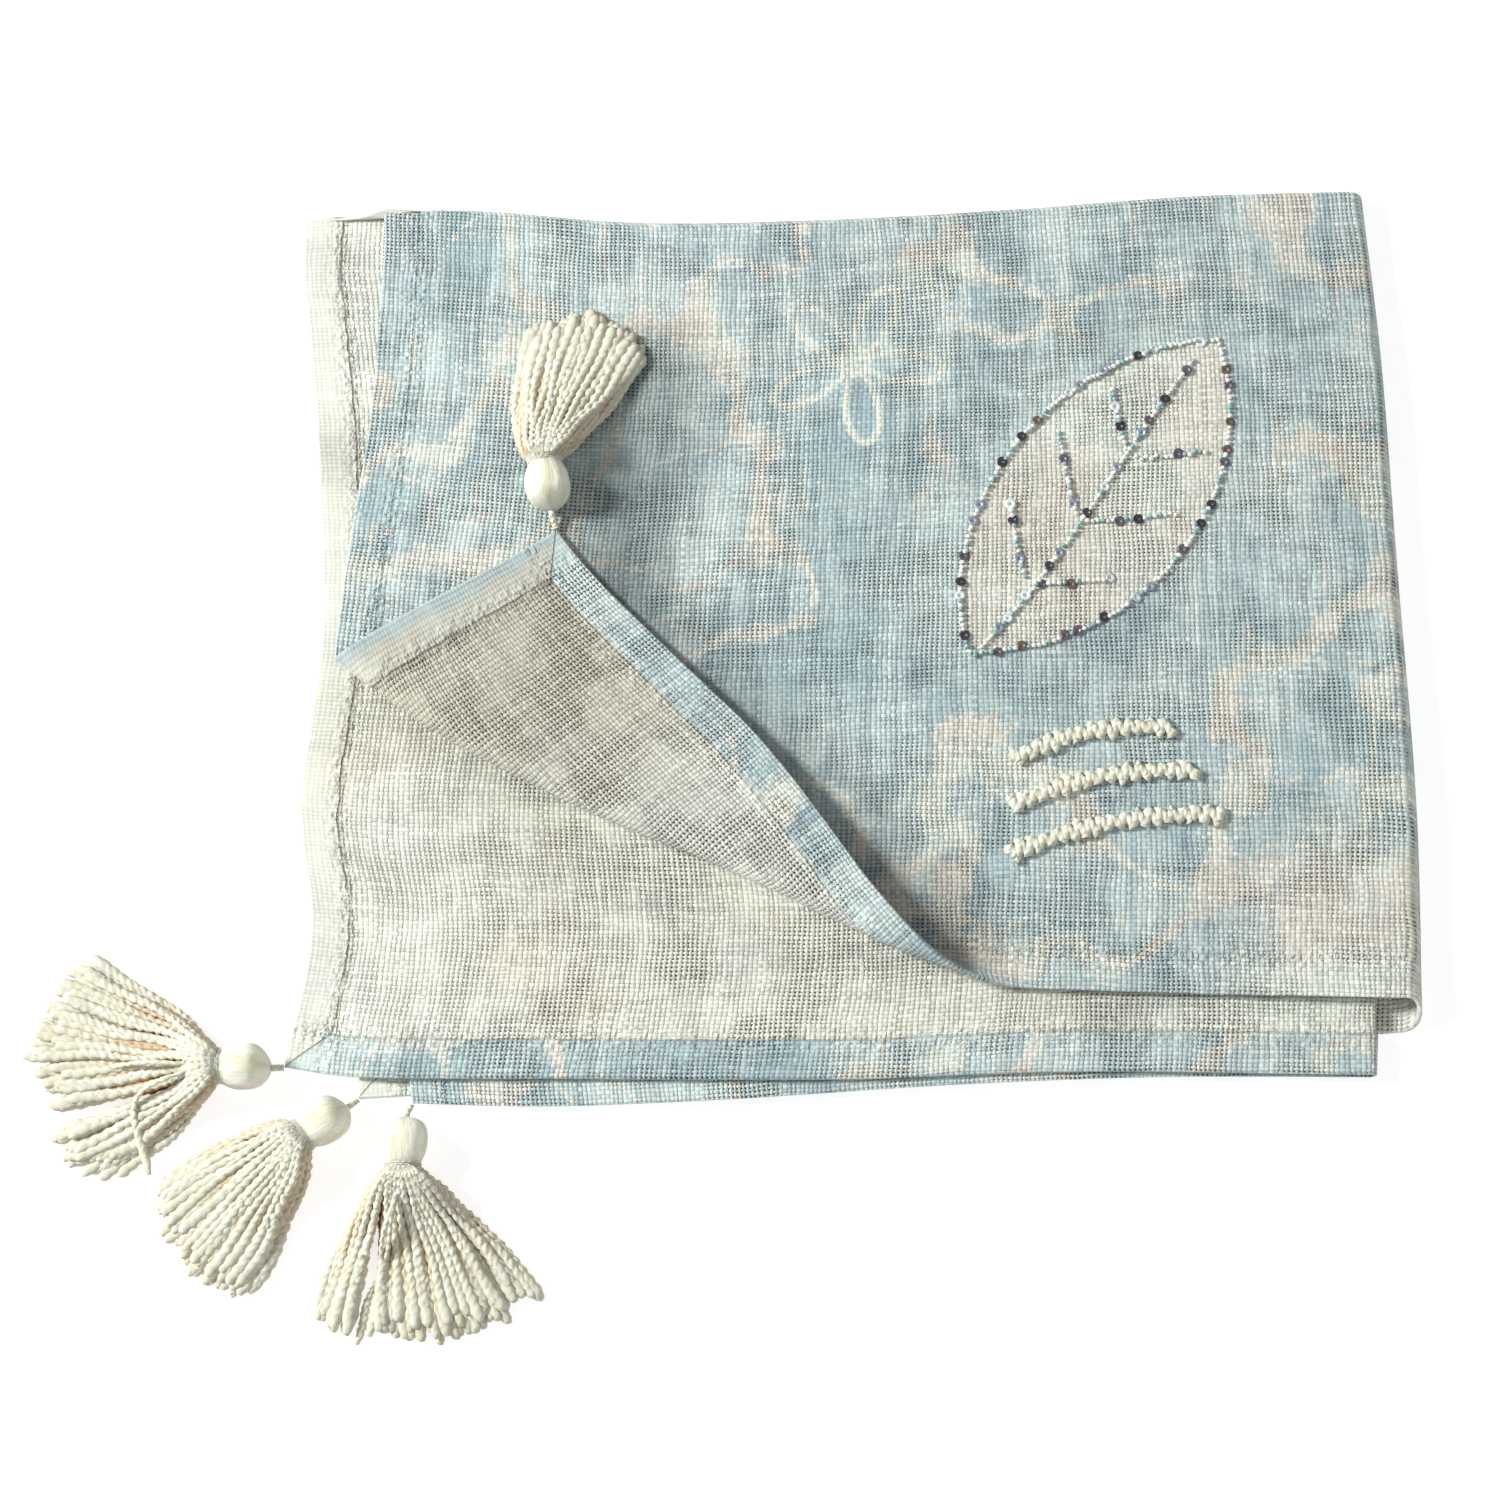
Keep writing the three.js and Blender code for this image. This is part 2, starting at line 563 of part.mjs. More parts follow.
// The cord leaves the cloth's corner level and then climbs to the start of the head.
function hangingCord(tassel) {
  const toward = direction(tassel.turn);
  const { corner, start } = tassel;
  const end = new THREE.Vector3(
    start.x - toward.x * CORD.gap,
    start.y - toward.y * CORD.gap,
    HEAD_HEIGHT - HEAD_DROOP.depth + ground(tassel, start),
  );
  const cloth = place(corner.u * SHEET.halfLength, corner.v < 0 ? -SHEET.outerDrop : SHEET.innerDrop);
  cloth.z = Math.max(cloth.z, CORD.radius + CORD.gap);
  const leaving = new THREE.Vector3(end.x - cloth.x, end.y - cloth.y, 0);
  const foot = cloth.clone().addScaledVector(leaving.clone().normalize(), CORD.clothGap);
  const reach = foot.distanceTo(end) * CORD.ease;
  const rising = foot.clone().addScaledVector(leaving.clone().normalize(), reach);
  const arriving = end.clone().addScaledVector(new THREE.Vector3(toward.x, toward.y, 0), -reach);
  const outline = new THREE.Shape();
  for (let i = 0; i < CORD.sides; i += 1) {
    const angle = (2 * Math.PI * i) / CORD.sides;
    const [x, y] = [CORD.radius * Math.cos(angle), CORD.radius * Math.sin(angle)];
    if (i === 0) outline.moveTo(x, y);
    else outline.lineTo(x, y);
  }
  outline.closePath();
  const path = new THREE.CubicBezierCurve3(foot, rising, arriving, end);
  return new THREE.ExtrudeGeometry(outline, { steps: CORD.steps, extrudePath: path, curveSegments: 1 });
}

function named(name, geometry, look) {
  const mesh = new THREE.Mesh(geometry, new THREE.MeshStandardMaterial(look));
  mesh.name = name;
  return mesh;
}

const throwBlanket = new THREE.Group();
throwBlanket.add(named('throw_cloth', throwCloth(), FACE_BLUE));
for (const tassel of TASSELS) {
  throwBlanket.add(named(`tassel_${tassel.name}`, tasselSolid(tassel), YARN_CREAM));
  throwBlanket.add(named(`neck_binding_${tassel.name}`, neckBinding(tassel), YARN_CREAM));
  throwBlanket.add(named(`hanging_cord_${tassel.name}`, hangingCord(tassel), YARN_CREAM));
}

export default throwBlanket;
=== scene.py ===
# A slub cotton throw, folded in quarters with one corner turned back, on a pale floor.
# Shapes are worked out in millimetres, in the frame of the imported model, and made in metres.
import math

import bpy
import numpy as np
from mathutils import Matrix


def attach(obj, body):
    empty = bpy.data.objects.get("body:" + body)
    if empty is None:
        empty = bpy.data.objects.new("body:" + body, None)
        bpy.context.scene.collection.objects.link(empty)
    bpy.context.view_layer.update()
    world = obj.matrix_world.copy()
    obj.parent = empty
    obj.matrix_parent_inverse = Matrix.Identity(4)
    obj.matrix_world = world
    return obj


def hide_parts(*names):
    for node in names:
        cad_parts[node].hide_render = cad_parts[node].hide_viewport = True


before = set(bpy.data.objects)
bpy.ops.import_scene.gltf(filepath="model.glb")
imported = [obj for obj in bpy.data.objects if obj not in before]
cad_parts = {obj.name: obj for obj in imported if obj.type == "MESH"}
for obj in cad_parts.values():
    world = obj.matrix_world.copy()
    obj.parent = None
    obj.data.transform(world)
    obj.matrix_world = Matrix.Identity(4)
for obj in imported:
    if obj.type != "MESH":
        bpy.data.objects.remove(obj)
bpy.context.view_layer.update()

MM = 0.001

# The photograph's view
CAMERA = {
    "target": (-60.0, -85.0, 0.0), "distance": 2200.0, "elevation": 75.0, "focal": 75.05, "sensor": 36.0,
}

# The cloth laid flat. u runs across the side fold and v across the top fold.
CLOTH = {"thickness": 2.0, "hem_width": 27.0, "hem_slope": 2.2, "hem_raise": 1.3}
SHEET = {"half_length": 752.0, "outer_drop": 600.0, "inner_drop": 645.0, "side_turn": 10.0, "top_turn": 5.0}
STACK = {"middle": 9.5, "pair_radius": 5.25, "half_gap": 3.25}
RIPPLE_SHARE = {1: 1.0, 2: 0.7, 3: 0.3, 4: 0.0}

# The waves that make the cloth uneven: height, length, compass turn and shift of each.
RIPPLES = [
    {"height": 0.55, "length": 310, "turn": 0.35, "shift": 0.4},
    {"height": 0.45, "length": 230, "turn": 1.35, "shift": 2.1},
    {"height": 0.3, "length": 170, "turn": 2.2, "shift": 4.4},
    {"height": 0.2, "length": 130, "turn": 0.9, "shift": 1.2},
]

# The four layers' outlines in plan, from the top one down: the corners at the top right, top left,
# bottom right and bottom left, and the places where each edge bends between them.
OUTER_SIDE = [(387, 213), (390, 60), (393, -130)]
INNER_SIDE = [(374, 100), (370, -150), (366, -270)]
LAYERS = {
    1: {
        "corners": [(380, 331), (-327, 319), (388, -266), (-357, -243)],
        "top": [(270, 327), (130, 317), (-10, 308), (-140, 306), (-240, 315)],
        "right": OUTER_SIDE,
        "bottom": [(200, -261), (72, -257), (-60, -259), (-200, -263)],
        "left": [(-328, 248), (-333, 155), (-350, 10), (-356, -110)],
    },
    2: {
        "corners": [(372, 329), (-386, 311), (363, -317), (-378, -311)],
        "top": [(270, 326), (130, 316), (-10, 307), (-140, 305), (-280, 313)],
        "right": INNER_SIDE,
        "bottom": [(151, -315), (11, -320), (-168, -320), (-329, -318)],
        "left": [(-386, 276), (-372, 157), (-363, -10), (-374, -130), (-363, -210)],
    },
    3: {
        "corners": [(372, 329), (-370, 300), (363, -318), (-290, -336)],
        "top": [(270, 325), (130, 315), (-53, 303), (-199, 300)],
        "right": INNER_SIDE,
        "bottom": [(220, -318), (84, -323), (-89, -334), (-200, -338)],
        "left": [(-338, 0)],
    },
    4: {
        "corners": [(380, 331), (-345, 306), (388, -286), (-327, -332)],
        "top": [(270, 326), (130, 316), (-53, 303), (-199, 301)],
        "right": OUTER_SIDE,
        "bottom": [(50, -312), (-292, -330)],
        "left": [(-334, 0)],
    },
}
SIDE_SWELL = {"y": [-290, 0, 335], "swell": [2.6, 0.6, 0.0]}
SWELL_REACH = 130.0
TURN_SHIFT = 5.0
MARGIN_SAG = {"depth": 6.0, "reach": 75.0, "layer_one_share": 0.75}

# The turned-back corner: the line of its roll, how far the roll bows out and its radius.
ROLL = {
    "start": (-352.0, -22.0), "end": (96.0, -250.0),
    "along": [-20, 35, 110, 220, 325, 430, 520],
    "bow": [-6, 10, 20, 20, 11, 11, 0],
    "radius": [9, 9.4, 10, 11, 12, 12.8, 13.5],
    "ease": 40.0, "settle": 150.0, "rest_gap": 4.2,
}

# Steps of the cloth's mesh, in millimetres along the sheet
STEP = {"upper": 4.6, "lower": 27.0, "outer": 4.6, "inner": 9.0, "hem": 9.0, "turn_count": 10}
EDGE_ROWS = [0, 0.4, 1.2]

# A tassel's head and neck, as distance from the cord's end and radius
HEAD = {
    "along": [0, 2, 5, 9, 15, 21, 26, 30, 33, 40, 46],
    "radius": [3.2, 8.6, 12.6, 15.0, 16.1, 15.9, 14.8, 12.9, 11.6, 11.6, 9],
    "height": 16.0, "droop": 9.5, "droop_length": 14.0,
    "creases": [(0.022, 9, 0.6), (0.018, 13, -0.4), (0.014, 5, 0.3)],
}
BINDING = {"from": 33.0, "to": 39.0, "radius": 11.9, "yarn": 0.9, "turns": 4}
CORD = {"radius": 2.4, "gap": 0.35, "cloth_gap": 0.6, "ease": 0.45, "twist": 7.0}
CLOTH_CLEARANCE = 0.8

# Where each tassel hangs, which way its head points, its skirt from one side to the other,
# and how many yarns lie on each level.
TASSELS = [
    {"name": "left", "corner": (-1, 1), "start": (-387, -311.5), "turn": 180, "on_cloth": False,
     "skirt_turn": [139, 174, 190, 212, 229], "skirt_reach": [122, 128, 113, 118, 100], "gap": (194, 203),
     "yarns": [27, 26, 26, 24, 17], "strays": [((198, 62), (241, 84), 15.0), ((180, 75), (176, 133), 5.0)],
     "seed": 11},
    {"name": "middle", "corner": (1, -1), "start": (-334, -338.5), "turn": 215, "on_cloth": False,
     "skirt_turn": [196, 221, 246, 257], "skirt_reach": [101, 112, 114, 102], "gap": None,
     "yarns": [22, 22, 22, 21, 15], "strays": [], "seed": 23},
    {"name": "right", "corner": (1, 1), "start": (-293.5, -345), "turn": 269, "on_cloth": False,
     "skirt_turn": [238, 252, 266, 281, 323], "skirt_reach": [112, 119, 108, 114, 124], "gap": (252, 263),
     "yarns": [26, 26, 25, 23, 16], "strays": [((257, 70), (255, 117), 2.4), ((260, 70), (259.5, 110), 2.4)],
     "seed": 37},
    {"name": "top", "corner": (-1, -1), "start": (-201, 84), "turn": 98, "on_cloth": True,
     "skirt_turn": [98, 72, 48], "skirt_reach": [104, 121, 112], "gap": None,
     "yarns": [19, 19, 19, 18, 12], "strays": [], "seed": 41},
]


def smooth(t):
    t = np.clip(t, 0.0, 1.0)
    return t * t * (3.0 - 2.0 * t)


def mix(a, b, share):
    return a + (b - a) * share


def unit(vectors):
    return vectors / np.maximum(np.linalg.norm(vectors, axis=-1, keepdims=True), 1e-12)


def distances_along(path):
    return np.concatenate([[0], np.cumsum(np.linalg.norm(np.diff(path, axis=0), axis=1))])


def direction(degrees):
    return np.array([math.cos(math.radians(degrees)), math.sin(math.radians(degrees))])


def left_of(way):
    return np.array([-way[1], way[0]])


# The cloth's shape, for arrays of places on the flat sheet


CURVE_SAMPLES = 240


def edge_curve(points):
    """A smooth curve through the points, as a function of the share of its length."""
    p = np.array(points, float)
    p = np.vstack([2 * p[0] - p[1], p, 2 * p[-1] - p[-2]])
    knots = np.concatenate([[0], np.cumsum(np.sqrt(np.linalg.norm(np.diff(p, axis=0), axis=1)))])
    rows = []
    for i in range(1, len(p) - 2):
        t = np.linspace(knots[i], knots[i + 1], CURVE_SAMPLES, endpoint=i == len(p) - 3)[:, None]
        k = knots[i - 1:i + 3]
        a = [mix(p[i - 1 + j], p[i + j], (t - k[j]) / (k[j + 1] - k[j])) for j in range(3)]
        b = [mix(a[j], a[j + 1], (t - k[j]) / (k[j + 2] - k[j])) for j in range(2)]
        rows.append(mix(b[0], b[1], (t - k[1]) / (k[2] - k[1])))
    line = np.vstack(rows)
    length = distances_along(line)
    share = length / length[-1]
    return lambda t: np.stack([np.interp(t, share, line[:, 0]), np.interp(t, share, line[:, 1])])


def layer_patch(layer):
    """A layer's plan: a is 0 at the side fold and 1 at the hem, b is 0 at the top fold."""
    top_right, top_left, bottom_right, bottom_left = layer["corners"]
    top = edge_curve([top_right, *layer["top"], top_left])
    bottom = edge_curve([bottom_right, *layer["bottom"], bottom_left])
    right = edge_curve([top_right, *layer["right"], bottom_right])
    left = edge_curve([top_left, *layer["left"], bottom_left])
    c = [np.array(corner, float)[:, None] for corner in layer["corners"]]

    def plan(a, b):
        across = mix(right(b), left(b), a)
        down = mix(top(a), bottom(a), b)
        return across + down - mix(mix(c[0], c[1], a), mix(c[2], c[3], a), b)

    return plan


PATCHES = {number: layer_patch(layer) for number, layer in LAYERS.items()}
THIRD_TOP, THIRD_BOTTOM = LAYERS[3]["corners"][1::2]
THIRD_EDGE = edge_curve([THIRD_TOP, *LAYERS[3]["left"], THIRD_BOTTOM])


def ripple(x, y):
    total = np.zeros_like(x)
    for wave in RIPPLES:
        along = x * math.cos(wave["turn"]) + y * math.sin(wave["turn"])
        total += wave["height"] * np.sin(2 * math.pi * along / wave["length"] + wave["shift"])
    return total


def margin_sag(x, y):
    """How far the upper layers sink where they reach past the third one."""
    share = (THIRD_TOP[1] - y) / (THIRD_TOP[1] - THIRD_BOTTOM[1])
    edge = THIRD_EDGE(np.clip(share, 0, 1))[0]
    return MARGIN_SAG["depth"] * smooth((edge - x) / MARGIN_SAG["reach"])


ROLL_START = np.array(ROLL["start"])
ROLL_ALONG = (np.array(ROLL["end"]) - ROLL_START) / np.linalg.norm(np.array(ROLL["end"]) - ROLL_START)
ROLL_OUT = np.array([ROLL_ALONG[1], -ROLL_ALONG[0]])


def eased(name, along):
    """A column of the roll's table, with its bends rounded off."""
    shifts = np.linspace(-1, 1, 9) * ROLL["ease"]
    return sum(np.interp(along + shift, ROLL["along"], ROLL[name]) for shift in shifts) / len(shifts)


def turn_corner(x, y):
    """Where points of the flat top layer lie once its corner is turned back."""
    dx, dy = x - ROLL_START[0], y - ROLL_START[1]
    along = dx * ROLL_ALONG[0] + dy * ROLL_ALONG[1]
    radius = eased("radius", along)
    foot = eased("bow", along) - radius
    past = np.maximum(dx * ROLL_OUT[0] + dy * ROLL_OUT[1] - foot, 0.0)
    angle = np.minimum(past / radius, math.pi)
    beyond = np.maximum(past - math.pi * radius, 0.0)
    out = foot + radius * np.sin(angle) - beyond
    fall = (2 * radius - ROLL["rest_gap"]) * smooth(beyond / ROLL["settle"])
    turned = past > 0
    new_x = np.where(turned, ROLL_START[0] + ROLL_ALONG[0] * along + ROLL_OUT[0] * out, x)
    new_y = np.where(turned, ROLL_START[1] + ROLL_ALONG[1] * along + ROLL_OUT[1] * out, y)
    return new_x, new_y, radius * (1 - np.cos(angle)) - fall


def place(u, v):
    """The middle of the cloth's thickness, in millimetres, for arrays u and v."""
    a = np.clip((np.abs(u) - SHEET["side_turn"]) / (SHEET["half_length"] - SHEET["side_turn"]), 0, 1)
    drop = np.where(v < 0, SHEET["outer_drop"], SHEET["inner_drop"])
    b = np.clip((np.abs(v) - SHEET["top_turn"]) / (drop - SHEET["top_turn"]), 0, 1)
    side_angle = np.clip((u / SHEET["side_turn"] + 1) / 2, 0, 1) * math.pi
    top_angle = np.clip((v / SHEET["top_turn"] + 1) / 2, 0, 1) * math.pi
    outward = np.cos(top_angle)
    inner = (1 - outward) / 2
    lower = (1 - np.cos(side_angle)) / 2
    level = 1 - (1 - inner) ** (1 + TURN_SHIFT * smooth((a - 0.88) / 0.12))
    upper_plan = mix(PATCHES[1](a, b), PATCHES[2](a, b), np.stack([inner, level]))
    lower_plan = mix(PATCHES[4](a, b), PATCHES[3](a, b), inner)
    x, y = mix(upper_plan, lower_plan, lower)
    y = y + STACK["half_gap"] * np.sin(top_angle)

    near_side = smooth(1 - a * SHEET["half_length"] / SWELL_REACH)
    swell = np.interp(y, SIDE_SWELL["y"], SIDE_SWELL["swell"]) * (1 - inner) * near_side
    radius = STACK["pair_radius"] + STACK["half_gap"] * outward + swell
    x = x + radius * np.sin(side_angle)

    turned_x, turned_y, lift = turn_corner(x, y)
    on_top = (u < 0) & (v < 0)
    x, y, lift = np.where(on_top, turned_x, x), np.where(on_top, turned_y, y), np.where(on_top, lift, 0)
    upper_share = mix(RIPPLE_SHARE[1], RIPPLE_SHARE[2], inner)
    lower_share = mix(RIPPLE_SHARE[4], RIPPLE_SHARE[3], inner)
    sag_share = mix(MARGIN_SAG["layer_one_share"], 1.0, inner) * (1 - lower)
    z = STACK["middle"] + swell + radius * np.cos(side_angle) + lift
    z = z + ripple(x, y) * mix(upper_share, lower_share, lower) - margin_sag(x, y) * sag_share
    return np.stack([x, y, z], axis=-1)


def face_normal(u, v):
    """The direction out of the printed face."""
    low_u, high_u = [np.clip(u + step, -SHEET["half_length"], SHEET["half_length"]) for step in (-0.4, 0.4)]
    low_v, high_v = [np.clip(v + step, -SHEET["outer_drop"], SHEET["inner_drop"]) for step in (-0.4, 0.4)]
    return unit(np.cross(place(high_u, v) - place(low_u, v), place(u, high_v) - place(u, low_v)))


def edge_distances(u, v):
    return SHEET["half_length"] - np.abs(u), np.where(v < 0, SHEET["outer_drop"] + v, SHEET["inner_drop"] - v)


def hem_raise(u, v):
    past_hem = CLOTH["hem_width"] + CLOTH["hem_slope"] - np.minimum(*edge_distances(u, v))
    return CLOTH["hem_raise"] * smooth(past_hem / CLOTH["hem_slope"])


def hem_pucker(u, v):
    """The small gathers along the hem's stitching."""
    du, dv = edge_distances(u, v)
    along = np.where(du < dv, v, u)
    nearest = np.minimum(du, dv)
    near = np.exp(-((nearest - CLOTH["hem_width"]) / 9.0) ** 2)
    return 0.28 * near * (np.sin(along / 2.1 + 2 * np.sin(along / 31.0)) + 0.6 * np.sin(along / 5.3))


# Meshes


def add_object(name, data):
    obj = bpy.data.objects.new(name, data)
    bpy.context.scene.collection.objects.link(obj)
    return obj


def make_object(name, points, faces, materials, indices=None, uvs=None):
    """A mesh object from points in millimetres. uvs maps a layer's name to one pair for each point."""
    mesh = bpy.data.meshes.new(name)
    mesh.from_pydata((np.asarray(points) * MM).tolist(), [], [tuple(face) for face in faces])
    mesh.update()
    for material in materials:
        mesh.materials.append(material)
    if indices is not None:
        mesh.polygons.foreach_set("material_index", np.asarray(indices, np.int32))
    corner_points = np.empty(len(mesh.loops), np.int32)
    mesh.loops.foreach_get("vertex_index", corner_points)
    for layer, pairs in (uvs or {}).items():
        values = np.asarray(pairs, np.float32)[corner_points]
        mesh.uv_layers.new(name=layer).uv.foreach_set("vector", values.ravel())
    mesh.polygons.foreach_set("use_smooth", np.ones(len(mesh.polygons), bool))
    return add_object(name, mesh)


class MeshParts:
    """Collects many small closed forms into one mesh."""

    def __init__(self):
        self.points, self.faces, self.indices, self.uvs, self.deep, self.count = [], [], [], [], [], 0

    def add(self, points, faces, uvs=None, deep=None, material=0):
        self.points.append(points)
        self.faces += [tuple(int(k) + self.count for k in face) for face in faces]
        self.indices += [material] * len(faces)
        self.uvs.append(np.zeros((len(points), 2)) if uvs is None else uvs)
        self.deep.append(np.zeros((len(points), 2)) if deep is None else deep)
        self.count += len(points)

    def make(self, name, materials):
        uvs = {"along": np.vstack(self.uvs), "deep": np.vstack(self.deep)}
        return make_object(name, np.vstack(self.points), self.faces, materials, self.indices, uvs)


def frames_along(path, up=(0.0, 0.0, 1.0)):
    """Two directions across a path at each of its points."""
    tangent = unit(np.gradient(path, axis=0))
    side = np.cross(tangent, up)
    weak = np.linalg.norm(side, axis=1) < 1e-3
    side[weak] = np.cross(tangent[weak], (0.0, 1.0, 0.0))
    side = unit(side)
    return side, np.cross(side, tangent)


def ring_angles(sides):
    return np.linspace(0, 2 * math.pi, sides, endpoint=False)


def capped_rings(count, sides):
    """Quads from each ring of points to the next, and fans to the two end points after the rings."""
    pairs = [(k, (k + 1) % sides) for k in range(sides)]
    end, last = count * sides, (count - 1) * sides
    quads = [(i + k, i + sides + k, i + sides + j, i + j) for i in range(0, last, sides) for k, j in pairs]
    return quads + [(end, k, j) for k, j in pairs] + [(end + 1, last + j, last + k) for k, j in pairs]


def ring_uvs(along, sides):
    """How far along in metres, and how far round, the rings' points and the two end points lie."""
    pairs = np.stack([np.repeat(along * MM, sides), np.tile(np.arange(sides) / sides, len(along))], axis=1)
    return np.vstack([pairs, [[0, 0]], [[along[-1] * MM, 0]]])


def tube(path, radii, frames=None):
    """A closed tube along a path. radii has one row a point and one column a side."""
    side, over = frames or frames_along(path)
    sides = radii.shape[1]
    angles = ring_angles(sides)
    ring = side[:, None] * np.cos(angles)[None, :, None] + over[:, None] * np.sin(angles)[None, :, None]
    points = (path[:, None] + ring * radii[:, :, None]).reshape(-1, 3)
    points = np.vstack([points, path[0], path[-1]])
    return points, capped_rings(len(path), sides), ring_uvs(distances_along(path), sides)


def bezier(points, count):
    t = np.linspace(0, 1, count)[:, None]
    a, b, c, d = [np.array(p, float) for p in points]
    return (1 - t) ** 3 * a + 3 * (1 - t) ** 2 * t * b + 3 * (1 - t) * t ** 2 * c + t ** 3 * d


# Materials


def srgb(red, green, blue):
    """A linear colour from eight-bit values."""
    def linear(value):
        value /= 255.0
        return value / 12.92 if value <= 0.04045 else ((value + 0.055) / 1.055) ** 2.4
    return (linear(red), linear(green), linear(blue), 1.0)


def operator(operation):
    return lambda self, other: self.graph.math(operation, self, other)


class Signal:
    """A shader socket that takes ordinary arithmetic."""

    def __init__(self, graph, socket):
        self.graph, self.socket = graph, socket

    def __rsub__(self, other):
        return self.graph.math("SUBTRACT", other, self)

    def __abs__(self):
        return self.graph.math("ABSOLUTE", self)

    __add__ = __radd__ = operator("ADD")
    __mul__ = __rmul__ = operator("MULTIPLY")
    __sub__ = operator("SUBTRACT")
    __truediv__ = operator("DIVIDE")
    __pow__ = operator("POWER")


class Graph:
    """A material's nodes, made by plain calls."""

    def __init__(self, name):
        self.material = bpy.data.materials.new(name)
        self.material.use_nodes = True
        self.tree = self.material.node_tree
        self.tree.nodes.clear()
        self.output = self.tree.nodes.new("ShaderNodeOutputMaterial")
        self.shader = self.tree.nodes.new("ShaderNodeBsdfPrincipled")
        self.tree.links.new(self.shader.outputs[0], self.output.inputs["Surface"])

    def put(self, value, socket):
        if isinstance(value, Signal):
            self.tree.links.new(value.socket, socket)
        else:
            socket.default_value = value

    def node(self, kind, inputs=None, **settings):
        made = self.tree.nodes.new(kind)
        for name, value in settings.items():
            setattr(made, name, value)
        for name, value in (inputs or {}).items():
            self.put(value, made.inputs[name])
        return made

    def math(self, operation, *values, clamp=False):
        made = self.node("ShaderNodeMath", operation=operation, use_clamp=clamp)
        for value, socket in zip(values, made.inputs):
            self.put(value, socket)
        return Signal(self, made.outputs[0])

    def uv(self, layer):
        split = self.node("ShaderNodeSeparateXYZ")
        self.tree.links.new(self.node("ShaderNodeUVMap", uv_map=layer).outputs[0], split.inputs[0])
        return Signal(self, split.outputs[0]), Signal(self, split.outputs[1])

    def vector(self, x, y, z=0.0):
        return Signal(self, self.node("ShaderNodeCombineXYZ", {0: x, 1: y, 2: z}).outputs[0])

    def noise(self, x, y, scale=1.0, detail=2.0, roughness=0.5, z=0.0):
        settings = {"Vector": self.vector(x, y, z), "Scale": scale, "Detail": detail, "Roughness": roughness}
        return Signal(self, self.node("ShaderNodeTexNoise", settings).outputs[0])

    def object_noise(self, scale, detail):
        """Noise at the object's own places, for pieces without a flat sheet."""
        made = self.node("ShaderNodeTexNoise", {"Scale": scale, "Detail": detail})
        self.tree.links.new(self.node("ShaderNodeTexCoord").outputs["Object"], made.inputs["Vector"])
        return Signal(self, made.outputs[0])

    def length(self, x, y):
        return self.math("SQRT", x * x + y * y)

    def largest(self, first, *others):
        for other in others:
            first = self.math("MAXIMUM", first, other)
        return first

    def step(self, value, low, high):
        """Rises smoothly from 0 at low to 1 at high."""
        made = self.node("ShaderNodeMapRange", {"Value": value, "From Min": low, "From Max": high},
                         interpolation_type="SMOOTHSTEP")
        return Signal(self, made.outputs[0])

    def fade(self, value, low, high):
        """Falls smoothly from 1 at low to 0 at high."""
        return 1.0 - self.step(value, low, high)

    def blend(self, share, first, second):
        made = self.node("ShaderNodeMix", data_type="RGBA")
        for value, index in ((share, 0), (first, 6), (second, 7)):
            self.put(value, made.inputs[index])
        return Signal(self, made.outputs[2])

    def brighten(self, color, factor):
        made = self.node("ShaderNodeVectorMath", operation="SCALE")
        self.put(color, made.inputs[0])
        self.put(factor, made.inputs["Scale"])
        return Signal(self, made.outputs[0])

    def finish(self, color, height=None, bump=0.001, **sockets):
        self.put(color, self.shader.inputs["Base Color"])
        for name, value in sockets.items():
            self.put(value, self.shader.inputs[name.replace("_", " ")])
        if height is not None:
            made = self.node("ShaderNodeBump", {"Height": height, "Distance": bump, "Strength": 1.0})
            self.tree.links.new(made.outputs[0], self.shader.inputs["Normal"])
        return self.material


CREAM = srgb(215, 220, 208)
WARM_CREAM = srgb(208, 204, 188)
# GREY_CREAM is both the print showing through and painted shade on the turned flap; SHADED_CREAM is painted
# shade
GREY_CREAM = srgb(185, 188, 182)
SHADED_CREAM = srgb(175, 171, 152)
PINK_CREAM = srgb(213, 207, 195)
PALE_BLUE = srgb(197, 211, 207)
MID_BLUE = srgb(160, 181, 184)
DEEP_BLUE = srgb(122, 145, 163)
# The holes' colours are painted shade in the gaps of the weave
TAN_HOLE = srgb(62, 52, 40)
BLUE_HOLE = srgb(26, 38, 44)
SEAM_BROWN = srgb(140, 112, 80)
SEAM_GREY = srgb(126, 120, 110)
YARN_LIGHT = srgb(220, 223, 208)
YARN_SHADE = srgb(213, 211, 190)
# Painted shade between and under the skirt's yarns
YARN_PAINTED_SHADE = srgb(192, 144, 86)
WARP_PITCH = 0.0035
WEFT_PITCH = 0.0029

# The printed leaf and the drawn flower, placed on the flat sheet in metres
LEAF = {"u": -0.215, "v": -0.235, "turn": 52.0, "half_length": 0.150, "half_width": 0.074}
FLOWER = {
    "u": -0.395, "v": -0.120, "petals": 5, "turn": 0.8, "radius": 0.066, "depth": 0.42,
    "heart": 0.0105, "line": 0.0026,
}

# Soft pale clouds of the print, placed on the flat sheet in metres
CLOUDS = [
    {"u": 0.0, "v": -0.61, "radius": 0.15},
    {"u": 0.75, "v": -0.60, "radius": 0.10},
]

# Painted shadows on the print: darker beside the turned corner and below the top tassel
PAINTED_SHADOWS = [
    {"from": (-0.560, -0.300), "to": (-0.320, -0.570), "reach": 0.062, "depth": 0.42},
    {"from": (-0.548, -0.130), "to": (-0.562, -0.270), "reach": 0.085, "depth": 0.45},
]

# Painted shadow of the turned corner on the reverse below it
REVERSE_PAINTED_SHADOW = {"from": (-0.710, 0.370), "to": (-0.560, 0.470), "reach": 0.085, "depth": 0.36}


